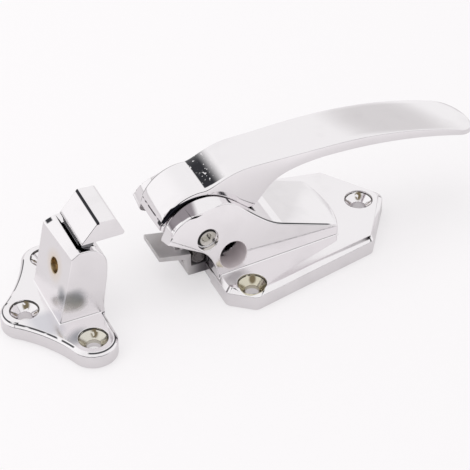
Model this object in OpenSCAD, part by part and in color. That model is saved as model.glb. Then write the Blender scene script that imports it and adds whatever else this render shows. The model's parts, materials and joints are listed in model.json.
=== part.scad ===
// Freezer door latch: a cast latch with a pull handle and a spring bolt, and its
// height-adjustable strike. Millimetres, +Z away from the door.
// The origin is the middle of the latch plate's length, on its mounting face.

/* [Mounting plate] */
// Length of the latch plate, from its flat end to its point
plate_l = 83; // [70:1:110]
// Greatest width of the latch plate
plate_w = 71; // [64:1:90]
// Thickness of the latch plate
plate_t = 8; // [7:0.5:10]
// Width of the plate where its point begins
plate_shoulder_w = 48; // [40:1:56]
// Length of the plate's point
plate_point_l = 17.5; // [14:0.5:20]
// Length of the cut corner at the flat end
corner_cut_l = 9.5; // [6:0.5:12]
// Width of the cut corner at the flat end
corner_cut_w = 7.6; // [5:0.2:9]
// Bevel round the top edge of the plate
plate_bevel = 1.8; // [1:0.1:2.5]
// Wall left round the cored underside
core_wall = 3; // [2.5:0.1:4]
// Diameter of the mounting screw holes
screw_hole_d = 5.5; // [4.5:0.1:6]
// Diameter of the countersinks
screw_head_d = 11.4; // [9.5:0.1:12]
// Distance between the two screws at the flat end
screw_pair_w = 56.8; // [54:0.2:58]
// Distance of the screw pair from the flat end
screw_pair_x = 10.5; // [9.5:0.1:12]
// Distance of the single screw from the plate's point
screw_point_x = 11.5; // [10.5:0.1:13]

/* [Housing] */
// Height of the handle pivot above the mounting face
pivot_h = 25.2; // [24.8:0.1:26.4]
// Distance of the pivot beyond the plate's flat end
pivot_overhang = 2.5; // [2:0.1:3]
// Radius of the cheeks round the pivot
cheek_r = 16.2; // [15.6:0.1:17]
// Width of the housing at its foot, at the cheeks
foot_w = 39; // [38:0.2:41]
// Width of the housing at its foot, at the low end
foot_end_w = 32; // [30:0.2:36]
// Draft of the housing's flanks, in degrees
flank_draft = 9; // [7:0.2:9.4]
// Length of the housing beyond the pivot
hump_l = 60; // [57:0.5:62]
// Height of the housing's low end above the mounting face
hump_end_h = 10.4; // [9.8:0.1:11]
// Width of the gap between the cheeks
cheek_gap = 21.2; // [20.6:0.1:21.6]
// Diameter of the access holes to the drive pin
access_d = 11.4; // [9:0.1:11.6]

/* [Handle] */
// Length of the handle from the pivot to its tip
handle_l = 124; // [110:1:140]
// Height of the grip's top above the mounting face
grip_h = 49.2; // [48.6:0.1:51]
// Thickness of the grip at its middle
grip_t = 5; // [4:0.1:6]
// Thickness of the grip at its tip
tip_t = 2.6; // [2:0.1:3.4]
// Width of the grip
grip_w = 21.8; // [21:0.1:24]
// Outer radius of the hub's barrel, upwards
barrel_r = 19.1; // [18.6:0.1:19.6]
// Outer radius of the hub's barrel, along the handle
barrel_long_r = 18.1; // [17.8:0.1:19]
// Wall of the hub's barrel
barrel_wall = 3.4; // [3:0.1:4]
// Width of the hub
hub_w = 20.4; // [19.8:0.1:20.6]
// Pull of the handle, in degrees
pull_angle = 35; // [25:1:36]

/* [Pivot and drive] */
// Diameter of the pivot pin
pin_d = 8; // [7:0.1:8.4]
// Depth of the pin's ends below the cheeks' faces
pin_sink = 1.6; // [1:0.1:2]
// Wall of the hub bushes
bush_wall = 1.5; // [1:0.1:1.8]
// Thickness of the bush flanges
bush_flange_t = 0.8; // [0.6:0.1:1]
// Distance of the drive pin below the pivot
drive_r = 15.2; // [14.8:0.1:15.4]
// Diameter of the drive pin
drive_pin_d = 4; // [3.6:0.1:4.2]
// Outer diameter of the rollers on the drive pin
roller_d = 6; // [5.6:0.1:6.4]

/* [Bolt] */
// Reach of the bolt's tip beyond the pivot
bolt_reach = 16.7; // [15:0.1:18]
// Width of the bolt
bolt_w = 15.6; // [15:0.1:16]
// Height of the bolt's tip above the mounting face
bolt_tip_h = 15.3; // [14.5:0.1:15.6]
// Thickness of the bolt's end face
bolt_edge_t = 2.2; // [1.5:0.1:3]
// Diameter of the spring's guide rod
rod_d = 4; // [3:0.1:4.4]
// Wire of the bolt spring
bolt_wire_d = 1.2; // [0.9:0.05:1.3]
// Turns of the bolt spring
bolt_turns = 9; // [7:1:10]
// Wire of the handle spring
handle_wire_d = 1.4; // [1:0.05:1.5]
// Turns of the handle spring
handle_turns = 3; // [2:1:3]

/* [Cover] */
// Thickness of the bottom cover
cover_t = 1.6; // [1.2:0.1:1.8]
// Width of the bottom cover
cover_w = 24.6; // [24:0.2:26]
// Thread diameter of the cover screws
cover_screw_d = 3; // [2.5:0.1:3]

/* [Strike] */
// Distance of the strike's screw pair from the plate's flat end, as laid out
strike_gap = 55.8; // [50:0.2:80]
// Sideways offset of the strike, as laid out
strike_offset = -4.9; // [-10:0.1:10]
// Distance between the strike's screw pair
strike_pair_w = 51; // [48:0.2:56]
// Distance of the strike's single screw from the pair
strike_single_x = 17.8; // [17:0.1:20]
// Thickness of the strike's foot
strike_foot_t = 7; // [6:0.1:8]
// Radius of the foot's lobes round its screws
strike_lobe_r = 9.3; // [8.6:0.1:10]
// Height of the strike's post
post_h = 36.3; // [35:0.1:38]
// Width of the post at its foot
post_foot_w = 27; // [25:0.2:28]
// Width of the post at its top
post_top_w = 22.4; // [21:0.2:23]
// Height of the strike's head over its underside
head_h = 8.6; // [7.5:0.1:9.5]
// Reach of the head's nose from the screw pair
head_reach = 20.4; // [19:0.1:22]
// Rise of the head above the post, as laid out
head_rise = 3.1; // [2.6:0.1:4]
// Diameter of the set screw
set_screw_d = 6; // [5:0.1:6.4]
// Pitch of the stem's serrations
serration_pitch = 1.5; // [1.2:0.1:2]

/* [Clearances] */
// Radial clearance of a running fit
run_clear = 0.05; // [0.02:0.01:0.1]
// Gap between a sliding piece and its guide
slide_clear = 0.4; // [0.3:0.05:0.5]
// Radial clearance of a screw in its hole
thread_clear = 0.02; // [0.01:0.01:0.05]

/* [Hidden] */
$fn = 64;

// Colours
chrome = "gainsboro";
steel = "silver";
zinc_steel = "darkgray";
bronze = "peru";
brass = "goldenrod";

// Overshoot of cutting shapes, so that no cut ends on a face
over = 1;
// Overlap that joins stacked shapes
seam = 0.01;
// Sides of a spring wire
wire_sides = 8;
plate_left = -plate_l / 2;
plate_right = plate_l / 2;
pivot_x = plate_left - pivot_overhang;
hump_top = pivot_h + cheek_r;
countersink_h = (screw_head_d - screw_hole_d) / 2;
countersink_recess = 0.5;
screw_boss_d = screw_head_d + 2 * core_wall;
plate_corner_r = 3;
plate_point_r = 4;
point_slant = 1 / sin(atan2(plate_shoulder_w / 2, plate_point_l));

// Housing outline, in places from the pivot
arch_r = 11.3;
arch_end_angle = 62;
arch_inset = 0.4;
arch_x = pivot_overhang + arch_inset;
nose_over = 1.2;
nose_rise = 0.6;
nose_corner = [-cheek_r - nose_over, pivot_h + nose_rise];
nose_r = 2;
cheek_start_angle = 163;
cheek_end_angle = 62;
ogee_end = [32.5, pivot_h - 4.3];
ogee_pull = 10;
hump_end_r = 35;
shoulder_r = 5;
shoulder_over = 0.8;
shoulder_top = 0.2;
shoulder_foot_r = 0.2;
cheek_face_y = foot_w / 2 - (pivot_h - plate_t) * tan(flank_draft);
pin_recess_gap = 0.45;
pin_recess_d = pin_d + 2 * pin_recess_gap;
access_place = [10.1, -10.2];
taper_angle = atan((foot_w - foot_end_w) / 2 / hump_l);

// Handle outline, in places from the pivot
root_rise_x = 2;
root_top_x = 22;
grip_flat_x = 52;
grip_curve_r = 175;
root_pull = [7, 1.2];
root_top_pull = 10;
root_low_rise = 4.2;
root_low = [root_top_x, pivot_h + root_low_rise];
under_pull = [7, 5.5];
under_end_pull = [26, 0.8];
grip_tip_flat = 0.6;
grip_tip_r = (grip_w - grip_tip_flat) / 2;
tip_slope = 3;
plan_tip_gap = 0.4;
plan_r = 20;
plan_end_r = 1;
barrel_end_angle = 145;
lip_end_angle = 158;
hollow_end_angle = 15;
lip_step = 0.4;
bush_outer_r = pin_d / 2 + run_clear + bush_wall;
boss_wall = 3;
boss_r = bush_outer_r + boss_wall;
flange_inset = 0.4;
bush_flange_r = boss_r - flange_inset;
web_t = 6.8;
web_over = 0.5;
web_rise = [4, 5];
finger_wall = 2.5;
finger_r = drive_pin_d / 2 + finger_wall;
finger_root_r = finger_r + 1.5;
finger_half = finger_r + 1;
coil_gap = 0.5;
handle_spring_r = boss_r + handle_wire_d / 2 + coil_gap;
coil_play = 0.15;
coil_side_gap = 0.4;
leg_gap = 0.3;
leg_bend = 2;
leg_angle = -50;

// Hub pocket
pocket_r = norm(root_low - [0, pivot_h]) + slide_clear;
drum_clear = 0.6;
drum_pocket_r = drive_r + roller_d / 2 + drum_clear;
pocket_drop = 6;
pocket_low = pivot_h - pocket_drop;

// Bolt and its channel
drive_z = pivot_h - drive_r;
bolt_low = cover_t + slide_clear;
bolt_cap = 2.6;
bolt_high = drive_z + bolt_cap;
bolt_wall = 1.2;
slot_w = roller_d + 2 * slide_clear;
bolt_throat_x = -slot_w / 2 - bolt_wall;
bolt_heel_x = bolt_throat_x - bolt_wall;
bolt_hook_x = -3.5;
bolt_travel = drive_r * sin(pull_angle);
fork_clear = 0.6;
fork_w = web_t + 2 * fork_clear;
fork_front = 8.2;
fork_rear = 7;
bolt_tail = 11;
channel_w = bolt_w + 2 * slide_clear;
channel_roof = 1;
channel_high = bolt_high + channel_roof;
channel_spare = 1.5;
channel_end = bolt_tail + bolt_travel + channel_spare;
rod_axis_z = (bolt_low + bolt_high) / 2;
rod_over = 2.5;
rod_gap = 0.3;
rod_end = channel_end + rod_over;
spring_hole_d = 10.4;
spring_end = 38;
spring_play = 0.1;
bolt_spring_r = spring_hole_d / 2 - coil_gap - bolt_wire_d / 2;
seat_spigot_l = 3;
seat_flange_t = 1.6;
seat_gap = 0.2;
seat_flange_r = spring_hole_d / 2 - seat_gap;
seat_shank_l = 4;
cover_over = 5;
cover_end = spring_end + cover_over;
cover_fit = 0.1;
cover_front_gap = 0.6;
cover_sink = 0.02;
cover_screw_y = 9.4;
cover_screw_in = 3.3;
cover_screw_xs = [channel_end + cover_screw_in, cover_end - cover_screw_in];
cover_screw_l = 7;
cover_screw_head_d = cover_screw_d * 1.8;

// Strike, in places from the middle of its screw pair
strike_x = plate_left - strike_gap;
foot_hollow_r = 60;
foot_bevel = 1.4;
strike_pair = [0, -strike_pair_w / 2];
strike_single = [-strike_single_x, 0];
lobe_span = strike_single - strike_pair;
hollow_reach = strike_lobe_r + foot_hollow_r;
hollow_c = (strike_pair + strike_single) / 2
    + unit([-lobe_span[1], lobe_span[0]]) * sqrt(hollow_reach * hollow_reach - lobe_span * lobe_span / 4);
post_foot_x = [-11, 9.5];
post_shoulder_x = -1.5;
post_chamfer_h = 1.9;
post_rim = 0.6;
post_bulge_x = 12.3;
post_round_r = 8;
post_pull = 7;
stem_x = [2.6, 8.4];
stem_w = 15;
stem_l = 22;
head_w = 22;
head_low = post_h + head_rise;
head_ridge_x = 9.8;
head_brow = [3.5, 0.5];
head_brow_r = 1;
head_nose_r = 1;
head_drop = 1;
socket_low = head_low - stem_l - head_drop - slide_clear;
neck_h = head_rise - head_drop - slide_clear;
neck_inset = 0.5;
neck_r = 2;
set_screw_drop = 11.9;
set_screw_z = post_h - set_screw_drop;
set_screw_l = 5.2;
set_screw_slot = [1, 1.4];
serration_h = serration_pitch / 2;

// Points along an oval round c with half axes r, from angle a0 to a1
function oval(c, r, a0, a1, n = 12) =
    [for (i = [0:n])
        let (a = a0 + (a1 - a0) * i / n)
        c + [r[0] * cos(a), r[1] * sin(a)]];

// Points along an arc round c, from angle a0 to a1
function arc(c, r, a0, a1, n = 12) = oval(c, [r, r], a0, a1, n);

// Points along a cubic curve
function curve(p0, p1, p2, p3, n = 12) =
    [for (i = [0:n])
        let (t = i / n, s = 1 - t)
        s * s * s * p0 + 3 * s * s * t * p1 + 3 * s * t * t * p2 + t * t * t * p3];

function unit(v) = v / norm(v);

// Points that round the corner p between a and b with radius r
function corner(a, p, b, r, n = 6) =
    let (
        u = unit(a - p),
        v = unit(b - p),
        half = acos(u * v) / 2,
        c = p + unit(u + v) * r / sin(half),
        t0 = p + u * r / tan(half) - c,
        t1 = p + v * r / tan(half) - c,
        a0 = atan2(t0[1], t0[0]),
        turn = atan2(t0[0] * t1[1] - t0[1] * t1[0], t0 * t1)
    )
    arc(c, r, a0, a0 + turn, n);

// A closed outline with every corner p[i] rounded by r[i]
function rounded(p, r) =
    let (n = len(p))
    [for (i = [0:n - 1]) each corner(p[(i + n - 1) % n], p[i], p[(i + 1) % n], r[i])];

// Draws a side outline, given in X and Z, across a width
module across(w) {
    rotate([90, 0, 0])
        linear_extrude(w, center = true)
            children();
}

// A cylinder along Y, centred on y = 0
module cross_cylinder(r, w) {
    rotate([90, 0, 0])
        cylinder(r = r, h = w, center = true);
}

// Places children at the pivot's X
module at_pivot_x() {
    translate([pivot_x, 0, 0])
        children();
}

// Places children on the pivot axis
module at_pivot() {
    translate([pivot_x, 0, pivot_h])
        children();
}

// Repeats children on both sides of the middle plane
module both_sides() {
    children();
    mirror([0, 1, 0])
        children();
}

// Countersunk screw hole down from the height top
module screw_hole(top) {
    translate([0, 0, -over])
        cylinder(d = screw_hole_d, h = top + 2 * over);
    translate([0, 0, top - countersink_recess - countersink_h])
        cylinder(d1 = screw_hole_d, d2 = screw_head_d, h = countersink_h);
    translate([0, 0, top - countersink_recess])
        cylinder(d = screw_head_d, h = countersink_recess + over);
}

// Puts children at each of the latch plate's screws
module at_plate_screws() {
    for (side = [-1, 1])
        translate([plate_left + screw_pair_x, side * screw_pair_w / 2, 0])
            children();
    translate([plate_right - screw_point_x, 0, 0])
        children();
}

// Outline of the latch plate, drawn in by inset
module plate_outline(inset) {
    left = plate_left + inset;
    shoulder_x = plate_right - plate_point_l;
    half = plate_w / 2 - inset;
    half_shoulder = plate_shoulder_w / 2 - inset;
    half_cut = plate_w / 2 - corner_cut_w - inset / 2;
    cut_x = plate_left + corner_cut_l + inset / 2;
    polygon(rounded(
        [
            [left, -half_cut], [cut_x, -half], [shoulder_x, -half_shoulder],
            [plate_right - inset * point_slant, 0],
            [shoulder_x, half_shoulder], [cut_x, half], [left, half_cut]
        ],
        [
            plate_corner_r, plate_corner_r, plate_corner_r, plate_point_r,
            plate_corner_r, plate_corner_r, plate_corner_r
        ]
    ));
}

// The plate with its bevelled top edge
module plate_solid() {
    hull() {
        linear_extrude(plate_t - plate_bevel)
            plate_outline(0);
        linear_extrude(plate_t)
            plate_outline(plate_bevel);
    }
}

// Hollows in the underside, clear of the screw bosses and the housing
module plate_cores() {
    core_h = plate_t - core_wall;
    difference() {
        translate([0, 0, -over])
            linear_extrude(core_h + over)
                plate_outline(core_wall);
        at_plate_screws()
            cylinder(d = screw_boss_d, h = 3 * plate_t, center = true);
        translate([plate_left - over, -foot_w / 2, -2 * over])
            cube([pivot_overhang + cover_end + 2 * core_wall + over, foot_w, plate_t + 3 * over]);
    }
}

// Side outline of the housing: arch, nose, cheek circle, ogee and low end
module housing_outline() {
    arch_c = [arch_x - arch_r, plate_t];
    cheek_c = [0, pivot_h];
    arch_points = arc(arch_c, arch_r, arch_end_angle, 0);
    cheek_points = arc(cheek_c, cheek_r, cheek_end_angle, cheek_start_angle, 20);
    ogee_start = cheek_points[0];
    ogee_from = unit([sin(cheek_end_angle), -cos(cheek_end_angle)]);
    low_end = [hump_l + over, hump_end_h];
    ogee_to = unit(low_end - ogee_end);
    ogee_points = curve(
        ogee_end, ogee_end - ogee_pull * ogee_to, ogee_start + ogee_pull * ogee_from, ogee_start
    );
    polygon(concat(
        [[arch_x, plate_t / 2], [low_end[0], plate_t / 2], low_end],
        ogee_points,
        [for (i = [1:len(cheek_points) - 1]) cheek_points[i]],
        corner(cheek_points[len(cheek_points) - 1], nose_corner, arch_points[0], nose_r),
        arch_points
    ));
}

// Everything outside one flank of the housing, which leans in and narrows to the low end
module flank_cut() {
    at_pivot_x()
        translate([0, -foot_w / 2, plate_t])
            rotate([0, 0, taper_angle])
                rotate([-flank_draft, 0, 0])
                    translate([-2 * hump_l, -foot_w, -2 * plate_t])
                        cube([4 * hump_l, foot_w, 3 * hump_top]);
}

// Cross outline that rounds the housing's shoulders
module shoulder_outline() {
    top_half = foot_w / 2 - (hump_top - plate_t) * tan(flank_draft) + shoulder_over;
    polygon(rounded(
        [
            [-foot_w, 0], [foot_w, 0], [foot_w, plate_t + over],
            [foot_w / 2 + shoulder_over, plate_t + over],
            [top_half, hump_top + shoulder_top], [-top_half, hump_top + shoulder_top],
            [-foot_w / 2 - shoulder_over, plate_t + over], [-foot_w, plate_t + over]
        ],
        [
            shoulder_foot_r, shoulder_foot_r, shoulder_foot_r, shoulder_foot_r,
            shoulder_r, shoulder_r, shoulder_foot_r, shoulder_foot_r
        ]
    ));
}

// The humped housing with its cheeks, before the pocket is cut
module housing_solid() {
    difference() {
        intersection() {
            at_pivot_x()
                across(foot_w + 2 * over)
                    housing_outline();
            translate([pivot_x, 0, 0])
                rotate([90, 0, 90])
                    linear_extrude(4 * hump_l, center = true)
                        shoulder_outline();
        }
        both_sides()
            flank_cut();
        at_pivot_x()
            difference() {
                translate([hump_l / 2, -foot_w, 0])
                    cube([hump_l, 2 * foot_w, hump_top]);
                translate([hump_l - hump_end_r, 0, -over])
                    cylinder(r = hump_end_r, h = hump_top + 2 * over);
            }
    }
}

// Room for the hub between the cheeks
module hub_pocket() {
    at_pivot()
        cross_cylinder(drum_pocket_r, cheek_gap);
    difference() {
        at_pivot()
            cross_cylinder(pocket_r, cheek_gap);
        translate([pivot_x - 2 * pocket_r, -cheek_gap, pocket_low - 3 * pocket_r])
            cube([4 * pocket_r, 2 * cheek_gap, 3 * pocket_r]);
    }
    translate([pivot_x - 2 * cheek_r, -cheek_gap / 2, channel_high - over])
        cube([2 * cheek_r, cheek_gap, hump_top]);
}

// Channel for the bolt, the spring behind it and the cover under both
module bolt_channel() {
    at_pivot_x() {
        translate([-over, -channel_w / 2, -over])
            cube([channel_end + over, channel_w, channel_high + over]);
        translate([channel_end - over, 0, rod_axis_z])
            rotate([0, 90, 0])
                cylinder(d = spring_hole_d, h = spring_end - channel_end + over);
        translate([channel_end - over, -spring_hole_d / 2, -over])
            cube([spring_end - channel_end + over, spring_hole_d, rod_axis_z + over]);
        translate([spring_end - over, 0, rod_axis_z])
            rotate([0, 90, 0])
                cylinder(d = rod_d + thread_clear * 2, h = seat_shank_l + over);
        translate([-over, -cover_w / 2, -over])
            cube([cover_end + over, cover_w, cover_t + over]);
    }
    at_cover_screws()
        cylinder(d = cover_screw_d, h = cover_t + cover_screw_l);
}

module at_cover_screws() {
    for (x = cover_screw_xs)
        for (side = [-1, 1])
            translate([pivot_x + x, side * cover_screw_y, 0])
                children();
}

// Cast housing on its mounting plate
module latch_body() {
    color(chrome)
        difference() {
            union() {
                plate_solid();
                housing_solid();
            }
            plate_cores();
            hub_pocket();
            bolt_channel();
            at_plate_screws()
                screw_hole(plate_t);
            at_pivot()
                cross_cylinder(pin_d / 2, 2 * foot_w);
            at_pivot()
                both_sides()
                    rotate([90, 0, 0])
                        translate([0, 0, cheek_face_y - pin_sink])
                            cylinder(d = pin_recess_d, h = foot_w);
            at_pivot()
                translate([access_place[0], 0, access_place[1]])
                    cross_cylinder(access_d / 2, 2 * foot_w);
        }
}

// Steel cover let into the mounting face
module bottom_cover() {
    front = pivot_overhang + cover_front_gap;
    color(zinc_steel)
        difference() {
            at_pivot_x()
                translate([front, -cover_w / 2 + cover_fit, 0])
                    cube([cover_end - front - cover_fit, cover_w - 2 * cover_fit, cover_t - cover_sink]);
            at_cover_screws()
                cover_screw(thread_clear);
        }
}

// One countersunk cover screw, grown by clear
module cover_screw(clear) {
    head_h = (cover_screw_head_d - cover_screw_d) / 2;
    r = cover_screw_d / 2 + clear - 2 * thread_clear;
    cylinder(r1 = cover_screw_head_d / 2 + clear - thread_clear, r2 = r, h = head_h);
    translate([0, 0, head_h - seam])
        cylinder(r = r, h = cover_screw_l - head_h);
}

module cover_screws() {
    color(steel)
        at_cover_screws()
            cover_screw(0);
}

// Side outline of the barrel and the lever, from the pivot's X
module handle_outline() {
    c = [0, pivot_h];
    outer = [barrel_long_r, barrel_r];
    barrel = oval(c, outer, acos(root_rise_x / barrel_long_r), barrel_end_angle, 24);
    lip = oval(c, outer - [lip_step, lip_step], barrel_end_angle, lip_end_angle, 4);
    top_c = [grip_flat_x, grip_h - grip_curve_r];
    tip_angle = acos((handle_l - grip_flat_x) / grip_curve_r);
    top = arc(top_c, grip_curve_r, tip_angle, 90, 20);
    low_dx = handle_l - tip_slope - grip_flat_x;
    top_drop = grip_curve_r - sqrt(grip_curve_r * grip_curve_r - low_dx * low_dx);
    low_drop = top_drop - grip_t + tip_t;
    low_r = (low_dx * low_dx + low_drop * low_drop) / (2 * low_drop);
    low_c = [grip_flat_x, grip_h - grip_t - low_r];
    low = arc(low_c, low_r, 90, acos(low_dx / low_r), 20);
    root = curve(
        barrel[0], barrel[0] + root_pull, [root_top_x - root_top_pull, grip_h], [root_top_x, grip_h], 10
    );
    under = curve(
        root_low, root_low + under_pull,
        [under_end_pull[0], grip_h - grip_t - under_end_pull[1]], [grip_flat_x, grip_h - grip_t], 14
    );
    polygon(concat(
        under, low, top, [for (i = [len(root) - 1:-1:1]) root[i]], barrel, lip,
        arc(c, barrel_r - barrel_wall, lip_end_angle, hollow_end_angle, 24)
    ));
}

// Plan of the handle: hub width at the root, wider along the grip, round at the tip
module handle_plan() {
    tip = handle_l - plan_tip_gap;
    polygon(rounded(
        [
            [-2 * barrel_r, -hub_w / 2], [root_low[0], -hub_w / 2], [grip_flat_x, -grip_w / 2],
            [tip, -grip_w / 2], [tip, grip_w / 2], [grip_flat_x, grip_w / 2],
            [root_low[0], hub_w / 2], [-2 * barrel_r, hub_w / 2]
        ],
        [plan_end_r, plan_r, plan_r, grip_tip_r, grip_tip_r, plan_r, plan_r, plan_end_r]
    ));
}

// Middle web of the hub with the finger that reaches down to the drive pin
module hub_web() {
    across(web_t)
        difference() {
            union() {
                translate([0, pivot_h])
                    circle(r = barrel_r - barrel_wall + web_over);
                hull() {
                    translate([0, pivot_h])
                        circle(r = finger_root_r, $fn = 32);
                    translate([0, drive_z])
                        circle(r = finger_r, $fn = 32);
                }
            }
            translate([-2 * barrel_r, drive_z - 2 * barrel_r])
                square([2 * barrel_r - finger_half, drive_r + 2 * barrel_r + web_rise[0]]);
            translate([finger_half, drive_z - 2 * barrel_r])
                square([2 * barrel_r, drive_r + 2 * barrel_r + web_rise[1]]);
        }
}

// Cast pull handle with its hollow barrel hub
module handle_lever() {
    boss_w = hub_w - 2 * bush_flange_t;
    color(chrome)
        difference() {
            union() {
                intersection() {
                    at_pivot_x()
                        across(2 * grip_w)
                            handle_outline();
                    at_pivot_x()
                        linear_extrude(2 * grip_h)
                            handle_plan();
                }
                at_pivot_x()
                    hub_web();
                at_pivot()
                    cross_cylinder(boss_r, boss_w);
            }
            at_pivot()
                cross_cylinder(bush_outer_r, 2 * hub_w);
            translate([pivot_x, 0, drive_z])
                cross_cylinder(drive_pin_d / 2, 2 * hub_w);
        }
}

// Flanged bush whose flange is at the front end of the hub
module hub_bush() {
    bush_l = hub_w / 2 - web_t / 2;
    at_pivot()
        rotate([90, 0, 0])
            difference() {
                union() {
                    translate([0, 0, hub_w / 2 - bush_l])
                        cylinder(r = bush_outer_r, h = bush_l);
                    translate([0, 0, hub_w / 2 - bush_flange_t])
                        cylinder(r = bush_flange_r, h = bush_flange_t);
                }
                cylinder(r = pin_d / 2 + run_clear, h = hub_w);
            }
}

module handle_bush_front() {
    color(bronze)
        hub_bush();
}

module handle_bush_rear() {
    color(bronze)
        mirror([0, 1, 0])
            hub_bush();
}

// Pivot pin with drilled ends, as a semi-tubular rivet has
module pivot_pin() {
    half = cheek_face_y - pin_sink;
    drill_r = pin_d / 4;
    color(steel)
        at_pivot()
            difference() {
                cross_cylinder(pin_d / 2, 2 * half);
                both_sides()
                    rotate([90, 0, 0])
                        translate([0, 0, half - pin_sink])
                            cylinder(r = drill_r, h = pin_sink + over);
            }
}

// Cross pin in the hub's finger
module drive_pin() {
    color(steel)
        translate([pivot_x, 0, drive_z])
            cross_cylinder(drive_pin_d / 2, bolt_w - slide_clear);
}

// Rollers on the ends of the drive pin, in the bolt's slots
module drive_rollers() {
    side_gap = 0.3;
    roller_l = bolt_w / 2 - web_t / 2 - 2 * side_gap;
    color(steel)
        translate([pivot_x, 0, drive_z])
            both_sides()
                rotate([90, 0, 0])
                    translate([0, 0, web_t / 2 + side_gap])
                        difference() {
                            cylinder(d = roller_d, h = roller_l);
                            translate([0, 0, -over])
                                cylinder(r = drive_pin_d / 2 + run_clear, h = roller_l + 2 * over);
                        }
}

// Side outline of the bolt: hooked top, thin end face and wedge underside
module bolt_outline() {
    polygon([
        [-bolt_reach, bolt_tip_h], [-bolt_reach, bolt_tip_h - bolt_edge_t],
        [bolt_heel_x, bolt_high - bolt_edge_t], [bolt_throat_x, bolt_low], [bolt_tail, bolt_low],
        [bolt_tail, bolt_high], [bolt_hook_x, bolt_high]
    ]);
}

// Sliding bolt, forked round the hub's finger and slotted for the drive rollers
module latch_bolt() {
    slot_low = drive_z - roller_d / 2 - slide_clear;
    fork_low = drive_z - finger_r - slide_clear;
    color(chrome)
        at_pivot_x()
            difference() {
                across(bolt_w)
                    bolt_outline();
                translate([-fork_front, -fork_w / 2, fork_low])
                    cube([fork_front + fork_rear, fork_w, bolt_tip_h]);
                translate([-slot_w / 2, -bolt_w, slot_low])
                    cube([slot_w, 2 * bolt_w, bolt_tip_h]);
                translate([fork_rear - over, 0, rod_axis_z])
                    rotate([0, 90, 0])
                        cylinder(d = rod_d, h = bolt_tail);
            }
}

// Rod in the bolt's tail that keeps its spring straight
module bolt_guide_rod() {
    color(steel)
        translate([pivot_x + fork_rear + rod_gap, 0, rod_axis_z])
            rotate([0, 90, 0])
                cylinder(d = rod_d, h = rod_end - fork_rear);
}

// Ring of points round one point of a wire, in the plane of the axis and the radius
function wire_ring(p, radial, axis, r) =
    [for (i = [0:wire_sides - 1])
        let (a = 360 * i / wire_sides)
        p + r * (cos(a) * radial + sin(a) * axis)];

// A closed tube through rings of points
module tube(rings) {
    sides = len(rings[0]);
    last = len(rings) - 1;
    polyhedron(
        points = [for (ring = rings) each ring],
        faces = concat(
            [[for (i = [0:sides - 1]) i]],
            [for (k = [0:last - 1])
                for (i = [0:sides - 1])
                    let (j = (i + 1) % sides, a = k * sides, b = a + sides)
                        each [[a + j, a + i, b + i], [a + j, b + i, b + j]]],
            [[for (i = [sides - 1:-1:0]) last * sides + i]]
        )
    );
}

// Height along a spring's axis at a share t of its turns, with closed ends
function coil_rise(t, turns, wire, length) =
    let (
        turn = t * turns,
        free = length - 4 * wire,
        ends = min(turn, 1) * wire + max(turn - turns + 1, 0) * wire
    )
    wire + ends + free * max(min((turn - 1) / (turns - 2), 1), 0);

// Compression spring behind the bolt
module bolt_spring() {
    steps = 18;
    seat_face = spring_end - seat_flange_t - spring_play;
    length = seat_face - bolt_tail - spring_play;
    n = bolt_turns * steps;
    color(zinc_steel)
        translate([pivot_x + bolt_tail + spring_play / 2, 0, rod_axis_z])
            tube([for (k = [0:n])
                let (
                    a = 360 * k / steps,
                    radial = [0, cos(a), sin(a)],
                    x = coil_rise(k / n, bolt_turns, bolt_wire_d, length) - bolt_wire_d / 2
                )
                wire_ring([x, 0, 0] + bolt_spring_r * radial, radial, [1, 0, 0], bolt_wire_d / 2)]);
}

// Turned plug in the housing's rear wall that holds the far end of the spring
module spring_seat() {
    color(steel)
        translate([pivot_x + spring_end, 0, rod_axis_z])
            rotate([0, 90, 0]) {
                translate([0, 0, -seat_flange_t])
                    cylinder(r = seat_flange_r, h = seat_flange_t);
                translate([0, 0, -seat_flange_t - seat_spigot_l])
                    cylinder(d = rod_d, h = seat_spigot_l + over);
                cylinder(d = rod_d, h = seat_shank_l - seat_gap);
            }
}

// Torsion spring on the hub's boss, its legs on the housing and under the barrel
module handle_spring() {
    steps = 20;
    pitch = handle_wire_d + coil_play;
    n = handle_turns * steps;
    r = handle_wire_d / 2;
    y0 = -web_t / 2 - coil_side_gap - r;
    first = [cos(leg_angle), 0, sin(leg_angle)];
    beside = [-first[2], 0, first[0]];
    color(zinc_steel)
        at_pivot()
            tube(concat(
                [for (reach = [drum_pocket_r - leg_gap, handle_spring_r + leg_bend])
                    wire_ring(first * reach + [0, y0, 0], beside, [0, -1, 0], r)],
                [for (k = [2:n])
                    let (a = leg_angle + 360 * k / steps, radial = [cos(a), 0, sin(a)])
                    wire_ring(handle_spring_r * radial + [0, y0 - pitch * k / steps, 0],
                        -radial, [0, -1, 0], r)]
            ));
}

// One layer of the strike's foot, h thick, with edges that lean in by bevel: three lobes,
// hollow sides between them and a straight edge
module strike_foot_layer(h, bevel) {
    pair_edge = strike_pair + strike_lobe_r * unit(hollow_c - strike_pair);
    single_edge = strike_single + strike_lobe_r * unit(hollow_c - strike_single);
    half = [[strike_lobe_r, strike_pair[1]], strike_pair, pair_edge, single_edge];
    slope = bevel / h;
    for (place = [strike_pair, -strike_pair, strike_single])
        translate(place)
            cylinder(r1 = strike_lobe_r, r2 = strike_lobe_r - bevel, h = h);
    difference() {
        linear_extrude(h)
            polygon(concat(half, [for (i = [len(half) - 1:-1:0]) [half[i][0], -half[i][1]]]));
        both_sides()
            translate([hollow_c[0], hollow_c[1], -over])
                cylinder(
                    r1 = foot_hollow_r - slope * over, r2 = foot_hollow_r + slope * (h + over),
                    h = h + 2 * over, $fn = 180
                );
        translate([strike_lobe_r, 0, 0])
            rotate([0, -atan(slope), 0])
                translate([0, -strike_pair_w, -h])
                    cube([strike_lobe_r, 2 * strike_pair_w, 4 * h]);
    }
}

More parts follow.
